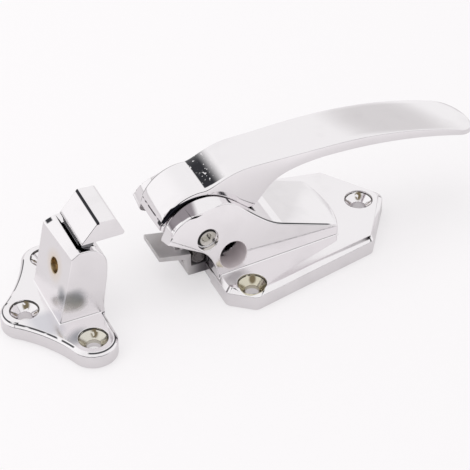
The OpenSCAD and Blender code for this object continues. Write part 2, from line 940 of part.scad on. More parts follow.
// Foot with a bevelled top edge
module strike_foot() {
    strike_foot_layer(strike_foot_t - foot_bevel, 0);
    translate([0, 0, strike_foot_t - foot_bevel])
        strike_foot_layer(foot_bevel, foot_bevel);
}

// Side outline of the strike's post: sloping left side, chamfered and rounded top, bulging right side
module post_outline() {
    low = strike_foot_t / 2;
    shoulder = [post_shoulder_x, post_h - post_chamfer_h];
    slope = (shoulder[0] - post_foot_x[0]) / (shoulder[1] - strike_foot_t);
    bulge = [post_bulge_x, post_h - post_round_r];
    polygon(concat(
        [[post_foot_x[0] - slope * (strike_foot_t - low), low], [post_foot_x[1], low]],
        curve(
            [post_foot_x[1], strike_foot_t], [post_foot_x[1], strike_foot_t + post_pull],
            bulge - [0, post_pull], bulge, 8
        ),
        arc(bulge - [post_round_r, 0], post_round_r, 0, 90, 8),
        [[stem_x[0] - slide_clear - post_rim, post_h], shoulder]
    ));
}

// Everything outside one side of the post, which narrows upwards
module post_side_cut() {
    lean = atan((post_foot_w - post_top_w) / 2 / (post_h - strike_foot_t));
    translate([0, -post_foot_w / 2, strike_foot_t])
        rotate([-lean, 0, 0])
            translate([-2 * post_h, -post_foot_w, -post_h])
                cube([4 * post_h, post_foot_w, 3 * post_h]);
}

// Cast strike with a socket for the head's stem
module strike_base() {
    half = strike_pair_w / 2;
    color(chrome)
        translate([strike_x, strike_offset, 0])
            difference() {
                union() {
                    strike_foot();
                    difference() {
                        across(post_foot_w + 2 * over)
                            post_outline();
                        both_sides()
                            post_side_cut();
                    }
                }
                for (side = [-1, 1])
                    translate([0, side * half, 0])
                        screw_hole(strike_foot_t);
                translate([-strike_single_x, 0, 0])
                    screw_hole(strike_foot_t);
                translate([stem_x[0] - slide_clear, -stem_w / 2 - slide_clear, socket_low])
                    cube([stem_x[1] - stem_x[0] + 2 * slide_clear, stem_w + 2 * slide_clear, post_h]);
                translate([-post_h, 0, set_screw_z])
                    rotate([0, 90, 0])
                        cylinder(d = set_screw_d, h = post_h + stem_x[0]);
            }
}

// Side outline of the hooked head: flat underside, rounded nose, brow and ridge
module head_outline() {
    heel = [stem_x[0], head_low];
    nose = [head_reach, head_low];
    ridge = [head_ridge_x, head_low + head_h];
    brow = [head_reach - head_brow[0], head_low + head_h - head_brow[1]];
    polygon(concat(
        [ridge, heel], corner(heel, nose, brow, head_nose_r),
        corner(nose, brow, ridge, head_brow_r)
    ));
}

// Neck between the head and its stem, almost as wide as the head, with rounded corners by the nose
module head_neck() {
    half = head_w / 2 - neck_inset;
    left = stem_x[0] + neck_inset;
    translate([0, 0, head_low - neck_h])
        linear_extrude(neck_h + over)
            polygon(concat(
                [[left, half], [left, -half]],
                corner([left, -half], [stem_x[1], -half], [stem_x[1], half], neck_r),
                corner([stem_x[1], -half], [stem_x[1], half], [left, half], neck_r)
            ));
}

// Stem with serrations on the set screw's side
module head_stem() {
    top = head_low + over;
    bottom = head_low - stem_l;
    teeth = floor((stem_l - over) / serration_pitch);
    across(stem_w)
        polygon(concat(
            [[stem_x[1], top], [stem_x[0] + serration_h, top]],
            [for (i = [0:teeth - 1]) each [
                [stem_x[0] + serration_h, head_low - serration_pitch * i],
                [stem_x[0], head_low - serration_pitch * (i + 0.5)]
            ]],
            [[stem_x[0] + serration_h, bottom], [stem_x[1], bottom]]
        ));
}

// Hooked head that the bolt catches on, with its height set by the stem
module strike_head() {
    color(chrome)
        translate([strike_x, strike_offset, 0]) {
            across(head_w)
                head_outline();
            head_neck();
            head_stem();
        }
}

// Slotted set screw that locks the stem
module strike_set_screw() {
    tip = stem_x[0] - slide_clear;
    color(brass)
        translate([strike_x + tip, strike_offset, set_screw_z])
            rotate([0, -90, 0])
                difference() {
                    cylinder(r = set_screw_d / 2 - thread_clear, h = set_screw_l);
                    translate([-set_screw_slot[0] / 2, -set_screw_d, set_screw_l - set_screw_slot[1]])
                        cube([set_screw_slot[0], 2 * set_screw_d, set_screw_slot[1] + over]);
                }
}

latch_body();
bottom_cover();
cover_screws();
handle_lever();
handle_bush_front();
handle_bush_rear();
pivot_pin();
drive_pin();
drive_rollers();
latch_bolt();
bolt_guide_rod();
bolt_spring();
spring_seat();
handle_spring();
strike_base();
strike_head();
strike_set_screw();
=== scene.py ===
"""Looks of a freezer door latch and its strike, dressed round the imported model, in metres."""
import json
import logging
import math
from collections.abc import Callable
from dataclasses import dataclass, replace
from enum import Enum, IntEnum
from functools import reduce

import bmesh
import bpy
import numpy as np
from mathutils import Matrix, Vector


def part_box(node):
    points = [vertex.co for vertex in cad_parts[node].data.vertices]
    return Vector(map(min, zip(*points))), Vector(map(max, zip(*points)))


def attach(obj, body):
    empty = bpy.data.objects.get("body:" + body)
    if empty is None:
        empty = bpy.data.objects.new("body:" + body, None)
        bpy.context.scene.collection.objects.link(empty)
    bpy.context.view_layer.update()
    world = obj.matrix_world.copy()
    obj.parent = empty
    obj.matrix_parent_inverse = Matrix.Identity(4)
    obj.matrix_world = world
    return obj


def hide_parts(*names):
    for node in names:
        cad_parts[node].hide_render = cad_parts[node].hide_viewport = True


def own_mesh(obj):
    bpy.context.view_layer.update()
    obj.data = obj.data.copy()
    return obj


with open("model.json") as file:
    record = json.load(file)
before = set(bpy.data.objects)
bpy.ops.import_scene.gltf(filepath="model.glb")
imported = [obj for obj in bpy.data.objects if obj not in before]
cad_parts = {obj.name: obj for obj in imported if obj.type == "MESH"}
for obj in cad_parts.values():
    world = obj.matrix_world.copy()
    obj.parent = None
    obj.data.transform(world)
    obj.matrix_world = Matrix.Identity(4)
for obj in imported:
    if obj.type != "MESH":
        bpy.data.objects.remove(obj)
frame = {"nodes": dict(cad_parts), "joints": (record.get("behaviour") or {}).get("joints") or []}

log = logging.getLogger("freezer_latch")

Triple = tuple[float, float, float]
Pair = tuple[float, float]
Span = tuple[float, float, float, float]
Socket = bpy.types.NodeSocket
Value = Socket | float | tuple[float, ...]
Look = tuple[Socket, Socket, Socket]
Piece = bpy.types.Object
Shape = Callable[[np.ndarray], np.ndarray]

MM = 0.001
# Millimetres beyond every piece, for ranges with an open end.
FAR_MM = 1000.0
FULL_TURN = 360.0
TINY = 1e-6
RISE: Pair = (0.0, 1.0)
FALL: Pair = (1.0, 0.0)
ORIGIN: Triple = (0.0, 0.0, 0.0)
WHITE: Triple = (1.0, 1.0, 1.0)
# Near-black laid as a painted dark reflection along the hump's edge, and as a dark spot on the strike's
# post.
DARK_LINE: Triple = (0.04, 0.04, 0.045)
# Near-black laid as painted shade behind the handle's root, and as a painted reflection on the strike
# head's ridge.
DEEP_SHADE: Triple = (0.03, 0.03, 0.035)
# Numbers of the colour sockets of the Mix node.
MIX_COLOURS = (6, 7)
MIX_RESULT = 2
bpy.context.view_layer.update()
MERGE_REACH = 0.002 * MM
FLAT_ANGLE = 0.6
SHARP_ANGLE = 26.0
SHORT_EDGE_SHARE = 0.45
EDGE_SEGMENTS = 3


class Body(Enum):
    """The moving bodies that pieces ride on."""

    HOUSING = "housing"
    HANDLE = "handle"
    BOLT = "bolt"
    STRIKE_HOOK = "strike_hook"


class Slot(Enum):
    """Material slots of the record."""

    CHROME = "chrome_casting"
    ZINC = "zinc_steel"
    STEEL = "bright_steel"
    BRONZE = "bronze"
    WIRE = "spring_wire"
    BRASS = "brass"


class Axis(IntEnum):
    """Axes by their place in a point."""

    X = 0
    Y = 1
    Z = 2


def mm(*values: float) -> tuple[float, ...]:
    """Turns millimetres into metres."""
    return tuple(value * MM for value in values)


def span(low: float, high: float, fade: float, fall: float | None = None) -> Span:
    """Makes a range with soft ends from millimetres.

    Args:
        low: Where the range starts.
        high: Where it ends.
        fade: Length of the rise before it.
        fall: Length of the fall after it, the same as the rise if None.

    Returns:
        Start and end of the rise, then of the fall, in metres.
    """
    return mm(low - fade, low, high, high + (fade if fall is None else fall))


def heading(azimuth: float, height: float) -> Triple:
    """Finds a direction from its angles.

    Args:
        azimuth: Degrees from +Y towards +X.
        height: Degrees above the floor.

    Returns:
        The unit vector.
    """
    turn, tilt = math.radians(azimuth), math.radians(height)
    return math.sin(turn) * math.cos(tilt), math.cos(turn) * math.cos(tilt), math.sin(tilt)


def new_material(name: str) -> tuple[bpy.types.Material, bpy.types.Node]:
    """Makes an empty node material with a Principled shader.

    Args:
        name: The material's name.

    Returns:
        The material and its Principled node.
    """
    material = bpy.data.materials.new(name)
    material.use_nodes = True
    return material, material.node_tree.nodes["Principled BSDF"]


@dataclass(frozen=True)
class Nodes:
    """Adds shader nodes to one tree."""

    tree: bpy.types.NodeTree

    def put(self, value: Value, socket: Socket) -> None:
        """Links a value into a socket, or sets a constant there.

        Args:
            value: An output of another node, or the constant.
            socket: The input that takes it.
        """
        if isinstance(value, Socket):
            self.tree.links.new(value, socket)
        else:
            socket.default_value = value

    def add(
        self, kind: str, inputs: dict[str | int, Value], output: str | int = 0, **settings: str
    ) -> Socket:
        """Adds a node.

        Args:
            kind: The node's type, without the words that all types start with.
            inputs: What goes into its inputs, by name or number.
            output: The output that is wanted.
            settings: Values of the node's own properties.

        Returns:
            The wanted output.
        """
        node = self.tree.nodes.new("ShaderNode" + kind)
        for name, setting in settings.items():
            setattr(node, name, setting)
        for key, value in inputs.items():
            self.put(value, node.inputs[key])
        return node.outputs[output]

    def noise(self, place: Socket, scale: float, detail: float) -> Socket:
        """Noise of about 0 to 1, by its waves per metre and its octaves of finer noise."""
        return self.add("TexNoise", {"Vector": place, "Scale": scale, "Detail": detail}, "Fac")

    def ramp(self, value: Socket, before: Pair, after: Pair = RISE) -> Socket:
        """Maps one range of a value smoothly on to another."""
        ends = dict(zip(("From Min", "From Max", "To Min", "To Max"), before + after))
        return self.add("MapRange", {"Value": value, **ends}, "Result", interpolation_type="SMOOTHSTEP")

    def calc(self, kind: str, first: Socket, second: Value = 0.0) -> Socket:
        """Result of a named sum of one or two numbers."""
        return self.add("Math", {0: first, 1: second}, operation=kind)

    def times(self, first: Socket, second: Value) -> Socket:
        """Product of two numbers."""
        return self.calc("MULTIPLY", first, second)

    def window(self, value: Socket, ends: Span) -> Socket:
        """Rise of a value to 1 at the start of a soft range, times its fall to 0 at the end."""
        return self.times(self.ramp(value, ends[:2]), self.ramp(value, ends[2:], FALL))

    def vector(self, kind: str, first: Socket, second: Triple = ORIGIN, output: str = "Vector") -> Socket:
        """Result of a named sum of one or two vectors."""
        return self.add("VectorMath", {0: first, 1: second}, output, operation=kind)

    def dot(self, place: Socket, direction: Triple) -> Socket:
        """Dot product with a fixed direction."""
        return self.vector("DOT_PRODUCT", place, direction, "Value")

    def parts(self, place: Socket) -> list[Socket]:
        """The three numbers of a vector."""
        return list(self.add("SeparateXYZ", {"Vector": place}).node.outputs)

    def blend(self, share: Socket, first: Socket | Triple, second: Socket | Triple) -> Socket:
        """Mixes two colours by the share of the second one."""
        ends = [end if isinstance(end, Socket) else (*end, 1.0) for end in (first, second)]
        return self.add("Mix", {0: share, **dict(zip(MIX_COLOURS, ends))}, MIX_RESULT, data_type="RGBA")

    def bump(self, height: Socket, strength: Value, reach: float, normal: Socket | None = None) -> Socket:
        """Bends a normal by a height.

        Args:
            height: The height, 0 to 1.
            strength: How much of it shows.
            reach: The depth that a height of 1 stands for.
            normal: The normal that is bent, the surface's own if None.

        Returns:
            The bent normal.
        """
        under = {} if normal is None else {"Normal": normal}
        return self.add("Bump", {"Height": height, "Strength": strength, "Distance": reach, **under})


@dataclass(frozen=True)
class Patch:
    """A soft-edged place in object space where a finish changes."""

    colour: Triple
    roughness: float
    metallic: float = 1.0
    pits: float = 0.0
    speck_level: float = 1.0
    speck_scale: float = 900.0
    centre: Triple = ORIGIN

    def mask(self, nodes: Nodes, place: Socket) -> Socket:
        """How much of the patch lies at each point; each kind of patch has its own."""
        raise NotImplementedError


@dataclass(frozen=True)
class BoxPatch(Patch):
    """A patch in a box round its centre, with soft ends on each axis; None leaves an axis open.

    The box may be turned about the line through its centre along Y.
    """

    spans: tuple[Span | None, ...] = (None, None, None)
    tilt: float = 0.0

    def mask(self, nodes: Nodes, place: Socket) -> Socket:
        """Product over the axes of a rise and a fall.

        Args:
            nodes: The nodes to add to.
            place: Object coordinates.

        Returns:
            The mask, 0 to 1.
        """
        away = nodes.vector("SUBTRACT", place, self.centre)
        turn = {"Vector": away, "Angle": math.radians(self.tilt)}
        turned = nodes.add("VectorRotate", turn, rotation_type="Y_AXIS")
        pairs = zip(nodes.parts(turned), self.spans)
        return reduce(nodes.times, [nodes.window(value, ends) for value, ends in pairs if ends is not None])


@dataclass(frozen=True)
class SlabPatch(BoxPatch):
    """A patch in the part of a box that lies between two planes with one normal."""

    normal: Triple = (0.0, 0.0, 1.0)
    foot: Triple = ORIGIN
    slab: Span = span(-FAR_MM, FAR_MM, 1.0)

    def mask(self, nodes: Nodes, place: Socket) -> Socket:
        """Product of the box's mask with a rise and a fall along the normal.

        Args:
            nodes: The nodes to add to.
            place: Object coordinates.

        Returns:
            The mask, 0 to 1.
        """
        height = nodes.dot(nodes.vector("SUBTRACT", place, self.foot), self.normal)
        return nodes.times(super().mask(nodes, place), nodes.window(height, self.slab))


@dataclass(frozen=True)
class RoundPatch(Patch):
    """A patch in a cylinder, or in a ring where it has a hole."""

    axis: Axis = Axis.Z
    radius: float = 5.0 * MM
    half: float = 2.0 * MM
    fade: float = 0.3 * MM
    hole: float = 0.0

    def mask(self, nodes: Nodes, place: Socket) -> Socket:
        """Falls off past the radius, and past the half length along the axis.

        Args:
            nodes: The nodes to add to.
            place: Object coordinates.

        Returns:
            The mask, 0 to 1.
        """
        away = nodes.vector("SUBTRACT", place, self.centre)
        flat = nodes.vector("MULTIPLY", away, tuple(float(axis != self.axis) for axis in Axis))
        reach = nodes.vector("LENGTH", flat, output="Value")
        along = nodes.calc("ABSOLUTE", nodes.parts(away)[self.axis])
        inside = nodes.ramp(reach, (self.radius, self.radius + self.fade), FALL)
        if self.hole > 0.0:
            inside = nodes.times(inside, nodes.ramp(reach, (self.hole - self.fade, self.hole)))
        return nodes.times(inside, nodes.ramp(along, (self.half, self.half + self.fade), FALL))


@dataclass(frozen=True)
class MetalFinish:
    """A plated or bare metal with mottled gloss, fine grain, a slightly wavy surface and patches."""

    name: str
    slot: Slot
    colour: Triple
    stain: Triple
    gloss: Pair
    mottle_scale: float = 70.0
    stain_range: Pair = (0.30, 0.50)
    gloss_range: Pair = (0.35, 0.65)
    wave_scale: float = 40.0
    wave_depth: float = 0.035
    wave_reach: float = 2.0 * MM
    grain_scale: Triple = (900.0, 900.0, 900.0)
    grain_depth: float = 0.04
    grain_reach: float = 0.05 * MM
    pit_reach: float = 0.1 * MM
    pit_fineness: float = 1.4
    speck_fade: float = 0.07
    metallic: float = 1.0
    patches: tuple[Patch, ...] = ()

    def material(self) -> bpy.types.Material:
        """Finds the node material, or builds it the first time.

        Returns:
            The finished material.
        """
        known = bpy.data.materials.get(self.name)
        if known is not None:
            return known
        material, shader = new_material(self.name)
        nodes = Nodes(material.node_tree)
        place = nodes.add("TexCoord", {}, "Object")
        mottle = nodes.noise(place, self.mottle_scale, detail=3.0)
        colour = nodes.blend(nodes.ramp(mottle, self.stain_range), self.stain, self.colour)
        gloss = nodes.ramp(mottle, self.gloss_range, self.gloss[::-1])
        look = (colour, gloss, self.relief(nodes, place))
        metal: Value = self.metallic
        for patch in self.patches:
            mask = patch.mask(nodes, place)
            look = self.lay(nodes, place, patch, mask, look)
            if patch.metallic < self.metallic:
                metal = nodes.ramp(mask, RISE, (self.metallic, patch.metallic))
        for name, value in zip(("Metallic", "Base Color", "Roughness", "Normal"), (metal, *look)):
            nodes.put(value, shader.inputs[name])
        return material

    def lay(self, nodes: Nodes, place: Socket, patch: Patch, mask: Socket, under: Look) -> Look:
        """Lays one patch over the finish, with bright specks left in it and pits cut into it.

        Args:
            nodes: The material's nodes.
            place: Object coordinates.
            patch: The patch.
            mask: Where it lies.
            under: Colour, roughness and normal so far.

        Returns:
            Colour, roughness and normal with the patch on.
        """
        colour, gloss, normal = under
        if patch.speck_level < 1.0:
            dots = nodes.noise(place, patch.speck_scale, detail=1.0)
            levels = (patch.speck_level, patch.speck_level + self.speck_fade)
            mask = nodes.times(mask, nodes.ramp(dots, levels, FALL))
        colour = nodes.blend(mask, colour, patch.colour)
        kept = nodes.times(gloss, nodes.ramp(mask, RISE, FALL))
        gloss = nodes.calc("ADD", kept, nodes.times(mask, patch.roughness))
        if patch.pits > 0.0:
            height = nodes.noise(place, self.pit_fineness * patch.speck_scale, detail=3.0)
            normal = nodes.bump(height, nodes.times(mask, patch.pits), self.pit_reach, normal)
        return colour, gloss, normal

    def relief(self, nodes: Nodes, place: Socket) -> Socket:
        """Bump of long casting waves with a fine grain over them.

        Args:
            nodes: The material's nodes.
            place: Object coordinates.

        Returns:
            The bumped normal.
        """
        stretched = nodes.add("Mapping", {"Vector": place, "Scale": self.grain_scale})
        grain = nodes.noise(stretched, 1.0, detail=2.0)
        wave = nodes.noise(place, self.wave_scale, detail=1.0)
        waved = nodes.bump(wave, self.wave_depth, self.wave_reach)
        return nodes.bump(grain, self.grain_depth, self.grain_reach, waved)


CHROME = MetalFinish(
    "polished_chrome", Slot.CHROME, colour=(0.865, 0.84, 0.855), stain=(0.835, 0.81, 0.825),
    gloss=(0.07, 0.12),
)
DULL_CAST = MetalFinish(
    "dull_casting", Slot.CHROME, colour=(0.70, 0.66, 0.68), stain=(0.56, 0.53, 0.55),
    gloss=(0.20, 0.32), grain_depth=0.2,
)
SATIN = MetalFinish(
    "satin_bolt_plating", Slot.CHROME, colour=(0.66, 0.64, 0.64), stain=(0.56, 0.54, 0.54),
    gloss=(0.30, 0.40), grain_scale=(250.0, 2400.0, 2400.0), grain_depth=0.2, metallic=0.4,
)
ZINC = MetalFinish(
    "zinc_plated_sheet", Slot.ZINC, colour=(0.62, 0.64, 0.66), stain=(0.50, 0.51, 0.50),
    gloss=(0.24, 0.42), grain_scale=(120.0, 2600.0, 2600.0), grain_depth=0.3,
)
STEEL = MetalFinish(
    "turned_steel", Slot.STEEL, colour=(0.64, 0.62, 0.58), stain=(0.46, 0.43, 0.37),
    gloss=(0.16, 0.30), grain_scale=(3000.0, 300.0, 3000.0), grain_depth=0.2,
)
# Painted shade: a darkened copy of the turned steel for the drive pin and rollers, which sit in the shadow
# under the nose.
SHADED_STEEL = replace(STEEL, name="shaded_steel", colour=(0.16, 0.15, 0.15), stain=(0.10, 0.09, 0.08))
WIRE = MetalFinish(
    "spring_wire", Slot.WIRE, colour=(0.42, 0.42, 0.44), stain=(0.28, 0.27, 0.27),
    gloss=(0.20, 0.36),
)
BRONZE = MetalFinish(
    "sintered_bronze", Slot.BRONZE, colour=(0.60, 0.42, 0.24), stain=(0.42, 0.28, 0.15),
    gloss=(0.34, 0.5), grain_depth=0.4,
)
BRASS = MetalFinish(
    "turned_brass", Slot.BRASS, colour=(0.72, 0.53, 0.28), stain=(0.48, 0.32, 0.15),
    gloss=(0.18, 0.34),
)


def bezier(points: np.ndarray, t: np.ndarray) -> np.ndarray:
    """Cubic curve: the four points weighted by the cubic Bernstein polynomials of t.

    Args:
        points: Four control points.
        t: Places along the curve from 0 to 1.

    Returns:
        One point for each place.
    """
    s = 1.0 - t
    return np.stack((s**3, 3 * s**2 * t, 3 * s * t**2, t**3), axis=1) @ points


def oval(radii: Pair, angles: np.ndarray, centre: Pair = (0.0, 0.0)) -> np.ndarray:
    """Oval arc: the centre plus each radius times the cosine and sine of the angles.

    Args:
        radii: Radius along and radius up.
        angles: Angles in degrees.
        centre: Centre of the oval.

    Returns:
        Points of shape (angles, 2).
    """
    turn = np.radians(angles)
    return np.stack((centre[0] + radii[0] * np.cos(turn), centre[1] + radii[1] * np.sin(turn)), axis=1)


def smooth_step(value: np.ndarray, low: float, high: float) -> np.ndarray:
    """Rises from 0 at low to 1 at high as 3t² − 2t³.

    Args:
        value: Values.
        low: Where the rise starts.
        high: Where it ends.

    Returns:
        The eased share of each value.
    """
    t = np.clip((value - low) / (high - low), 0.0, 1.0)
    return t * t * (3.0 - 2.0 * t)


def respaced(points: np.ndarray, rows: int) -> np.ndarray:
    """Spreads points again along their own line.

    Args:
        points: Points of shape (n, 2).
        rows: Number of points wanted.

    Returns:
        Points of shape (rows, 2), evenly spaced by length, ends kept.
    """
    step = np.linalg.norm(np.diff(points, axis=0), axis=1)
    place = np.concatenate(((0.0,), np.cumsum(step)))
    wanted = np.linspace(0.0, place[-1], rows)
    return np.stack([np.interp(wanted, place, points[:, k]) for k in range(2)], axis=1)


def grid_faces(rows: int, columns: int, close_rows: bool = False, close_columns: bool = True) -> np.ndarray:
    """Quads of a grid whose vertices are numbered row by row.

    Args:
        rows: Number of rows.
        columns: Vertices in each row.
        close_rows: Whether the last row joins the first.
        close_columns: Whether each row's end joins its start.

    Returns:
        Vertex numbers of shape (faces, 4).
    """
    row, column = np.meshgrid(
        np.arange(rows if close_rows else rows - 1),
        np.arange(columns if close_columns else columns - 1),
        indexing="ij",
    )
    below, after = (row + 1) % rows, (column + 1) % columns
    corners = ((row, column), (row, after), (below, after), (below, column))
    return np.stack([r * columns + c for r, c in corners], axis=-1).reshape(-1, 4)


def linked(name: str, data: bpy.types.ID) -> Piece:
    """Makes an object and links it into the scene.

    Args:
        name: The object's name.
        data: Its mesh, lamp or lens.

    Returns:
        The new object.
    """
    piece = bpy.data.objects.new(name, data)
    bpy.context.scene.collection.objects.link(piece)
    return piece


def mesh_piece(name: str, points: np.ndarray, faces: list[list[int]], sharp: float = 40.0) -> Piece:
    """Makes a mesh with its faces outwards and smooth by angle, and links it into the scene.

    Args:
        name: The piece's name.
        points: Vertices, any shape that ends in 3.
        faces: Vertex numbers of each face.
        sharp: Angle in degrees above which an edge stays sharp.

    Returns:
        The new object.
    """
    mesh = bpy.data.meshes.new(name)
    mesh.from_pydata(points.reshape(-1, 3).tolist(), [], faces)
    work = bmesh.new()
    work.from_mesh(mesh)
    bmesh.ops.recalc_face_normals(work, faces=work.faces)
    work.to_mesh(mesh)
    work.free()
    mesh.shade_smooth()
    mesh.set_sharp_from_angle(angle=math.radians(sharp))
    return linked(name, mesh)


def skin_piece(name: str, rings: np.ndarray) -> Piece:
    """Makes a closed tube-like mesh through rings of points, with flat ends.

    Args:
        name: The piece's name.
        rings: Points of shape (rings, points, 3), each ring closed.

    Returns:
        The new object.
    """
    rows, columns = rings.shape[:2]
    ends = [list(range(columns)), list(range((rows - 1) * columns, rows * columns))]
    return mesh_piece(name, rings, grid_faces(rows, columns).tolist() + ends)


def wire_piece(name: str, path: np.ndarray, axis: Triple, radius: float, sides: int = 12) -> Piece:
    """Round wire: a circle carried square to the path, turned by the path's direction and the coil's axis.

    Args:
        name: The piece's name.
        path: Points of the wire's middle line, shape (n, 3).
        axis: Direction of the coil's axis.
        radius: Radius of the wire.
        sides: Points in each circle.

    Returns:
        The new object.
    """
    along = np.gradient(path, axis=0)
    along /= np.linalg.norm(along, axis=1, keepdims=True)
    out = np.cross(along, np.asarray(axis))
    out /= np.linalg.norm(out, axis=1, keepdims=True)
    over = np.cross(out, along)
    turn = np.linspace(0.0, 2.0 * math.pi, sides, endpoint=False)[None, :, None]
    circle = np.cos(turn) * out[:, None, :] + np.sin(turn) * over[:, None, :]
    return skin_piece(name, path[:, None, :] + radius * circle)


def dress(piece: Piece, finish: MetalFinish, body: Body, *nodes: str) -> Piece:
    """Gives a new piece its finish and body, and lets it stand for CAD nodes.

    Args:
        piece: The piece.
        finish: Its finish.
        body: The body that carries it.
        nodes: Names of the CAD nodes that it replaces.

    Returns:
        The piece.
    """
    piece.data.materials.clear()
    piece.data.materials.append(finish.material())
    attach(piece, body.value)
    if nodes:
        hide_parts(*nodes)
    log.info("%s: %d vertices on %s", piece.name, len(piece.data.vertices), body.value)
    return piece


def read(items: bpy.types.bpy_prop_collection, name: str, size: int, kind: type = float) -> np.ndarray:
    """Reads one property of all the items of a mesh.

    Args:
        items: The mesh's vertices, edges, faces or loops.
        name: The property's name.
        size: How many numbers it has in each item.
        kind: Type of the numbers.

    Returns:
        Numbers of shape (items, size).
    """
    values = np.empty(len(items) * size, dtype=kind)
    items.foreach_get(name, values)
    return values.reshape(-1, size)


def edge_weights(mesh: bpy.types.Mesh, width: float, sharp: float) -> np.ndarray:
    """How much of the rounding each edge takes: all of it, or less where the edges round it are short.

    An edge is sharp where the cosine between its two faces is less than that of the sharp angle.

    Args:
        mesh: A closed mesh.
        width: Width of the rounding.
        sharp: Angle in degrees above which an edge is rounded.

    Returns:
        One share from 0 to 1 for each edge.
    """
    points, normals = read(mesh.vertices, "co", 3), read(mesh.polygons, "normal", 3)
    ends = read(mesh.edges, "vertices", 2, np.int32)
    sides = read(mesh.polygons, "loop_total", 1, np.int32).ravel()
    loops = read(mesh.loops, "edge_index", 1, np.int32).ravel()
    length = np.linalg.norm(points[ends[:, 0]] - points[ends[:, 1]], axis=1)
    shortest = np.full(len(points), np.inf)
    np.minimum.at(shortest, ends, length[:, None])
    faces = np.repeat(np.arange(len(sides)), sides)
    pairs = normals[faces[np.argsort(loops, kind="stable")]].reshape(-1, 2, 3)
    cosine = np.sum(pairs[:, 0] * pairs[:, 1], axis=1)
    share = np.minimum(1.0, SHORT_EDGE_SHARE * shortest[ends].min(axis=1) / width)
    return np.where(cosine < math.cos(math.radians(sharp)), share, 0.0)


def round_edges(piece: Piece, width: float) -> Piece:
    """Rounds a piece's sharp edges.

    Args:
        piece: The piece, a closed mesh.
        width: Width of the rounding.

    Returns:
        The piece.
    """
    weight = piece.data.attributes.new("bevel_weight_edge", "FLOAT", "EDGE")
    weight.data.foreach_set("value", edge_weights(piece.data, width, SHARP_ANGLE))
    bevel = piece.modifiers.new("rounded_edges", "BEVEL")
    bevel.width = width
    bevel.segments = EDGE_SEGMENTS
    bevel.limit_method = "WEIGHT"
    bevel.harden_normals = True
    bevel.use_clamp_overlap = False
    bevel.loop_slide = False
    bevel.miter_outer = "MITER_SHARP"
    return piece


def softened(node: str, body: Body, finish: MetalFinish, edge: float, shape: Shape | None = None) -> Piece:
    """Copies a CAD node, joins its flat triangles and rounds its edges, as casting or turning leaves them.

    Args:
        node: The node's name.
        body: The body that carries it.
        finish: Its finish.
        edge: Width of the rounding.
        shape: Moves the points before the edges are rounded.

    Returns:
        The dressed piece, which stands for the node.
    """
    name = f"{node}_softened"
    work = bmesh.new()
    work.from_mesh(frame["nodes"][node].data)
    bmesh.ops.remove_doubles(work, verts=work.verts, dist=MERGE_REACH)
    bmesh.ops.dissolve_limit(work, angle_limit=math.radians(FLAT_ANGLE), verts=work.verts, edges=work.edges)
    mesh = bpy.data.meshes.new(name)
    work.to_mesh(mesh)
    work.free()
    if shape is not None:
        mesh.vertices.foreach_set("co", shape(read(mesh.vertices, "co", 3)).ravel())
        mesh.update()
    mesh.shade_smooth()
    mesh.set_sharp_from_angle(angle=math.radians(SHARP_ANGLE))
    return dress(round_edges(linked(name, mesh), edge), finish, body, node)


@dataclass(frozen=True)
class Countersinks:
    """Screw recesses in the top of one casting, with a tint, lines of painted shade and brown marks laid in
    them.
    """

    places: tuple[Pair, ...]
    top: float
    tone: Triple

    def tint(self) -> RoundPatch:
        """Tint on the wall of the first one."""
        return RoundPatch(
            self.tone, roughness=0.2, centre=(*self.places[0], self.top - 2.6 * MM),
            radius=5.75 * MM, half=2.3 * MM, fade=0.2 * MM,
        )

    def marks(self) -> tuple[RoundPatch, ...]:
        """Painted shade as a dark line just inside each rim, and a brown mark on each far wall.

        Returns:
            Two patches for each countersink.
        """
        # Painted shade: a dark line just inside the rim.
        rim = RoundPatch(
            (0.06, 0.055, 0.05), roughness=0.3, speck_level=0.58, speck_scale=350.0,
            radius=5.55 * MM, half=0.3 * MM, fade=0.12 * MM, hole=4.9 * MM,
        )
        far_wall_mark = RoundPatch(
            (0.20, 0.16, 0.10), roughness=0.34, speck_level=0.6, speck_scale=600.0,
            radius=0.8 * MM, half=1.0 * MM, fade=1.0 * MM,
        )
        offsets = ((rim, mm(0.0, 0.0, -0.55)), (far_wall_mark, mm(2.0, 3.9, -1.8)))
        return tuple(
            replace(patch, centre=(x + along, y + across, self.top + up))
            for x, y in self.places for patch, (along, across, up) in offsets
        )


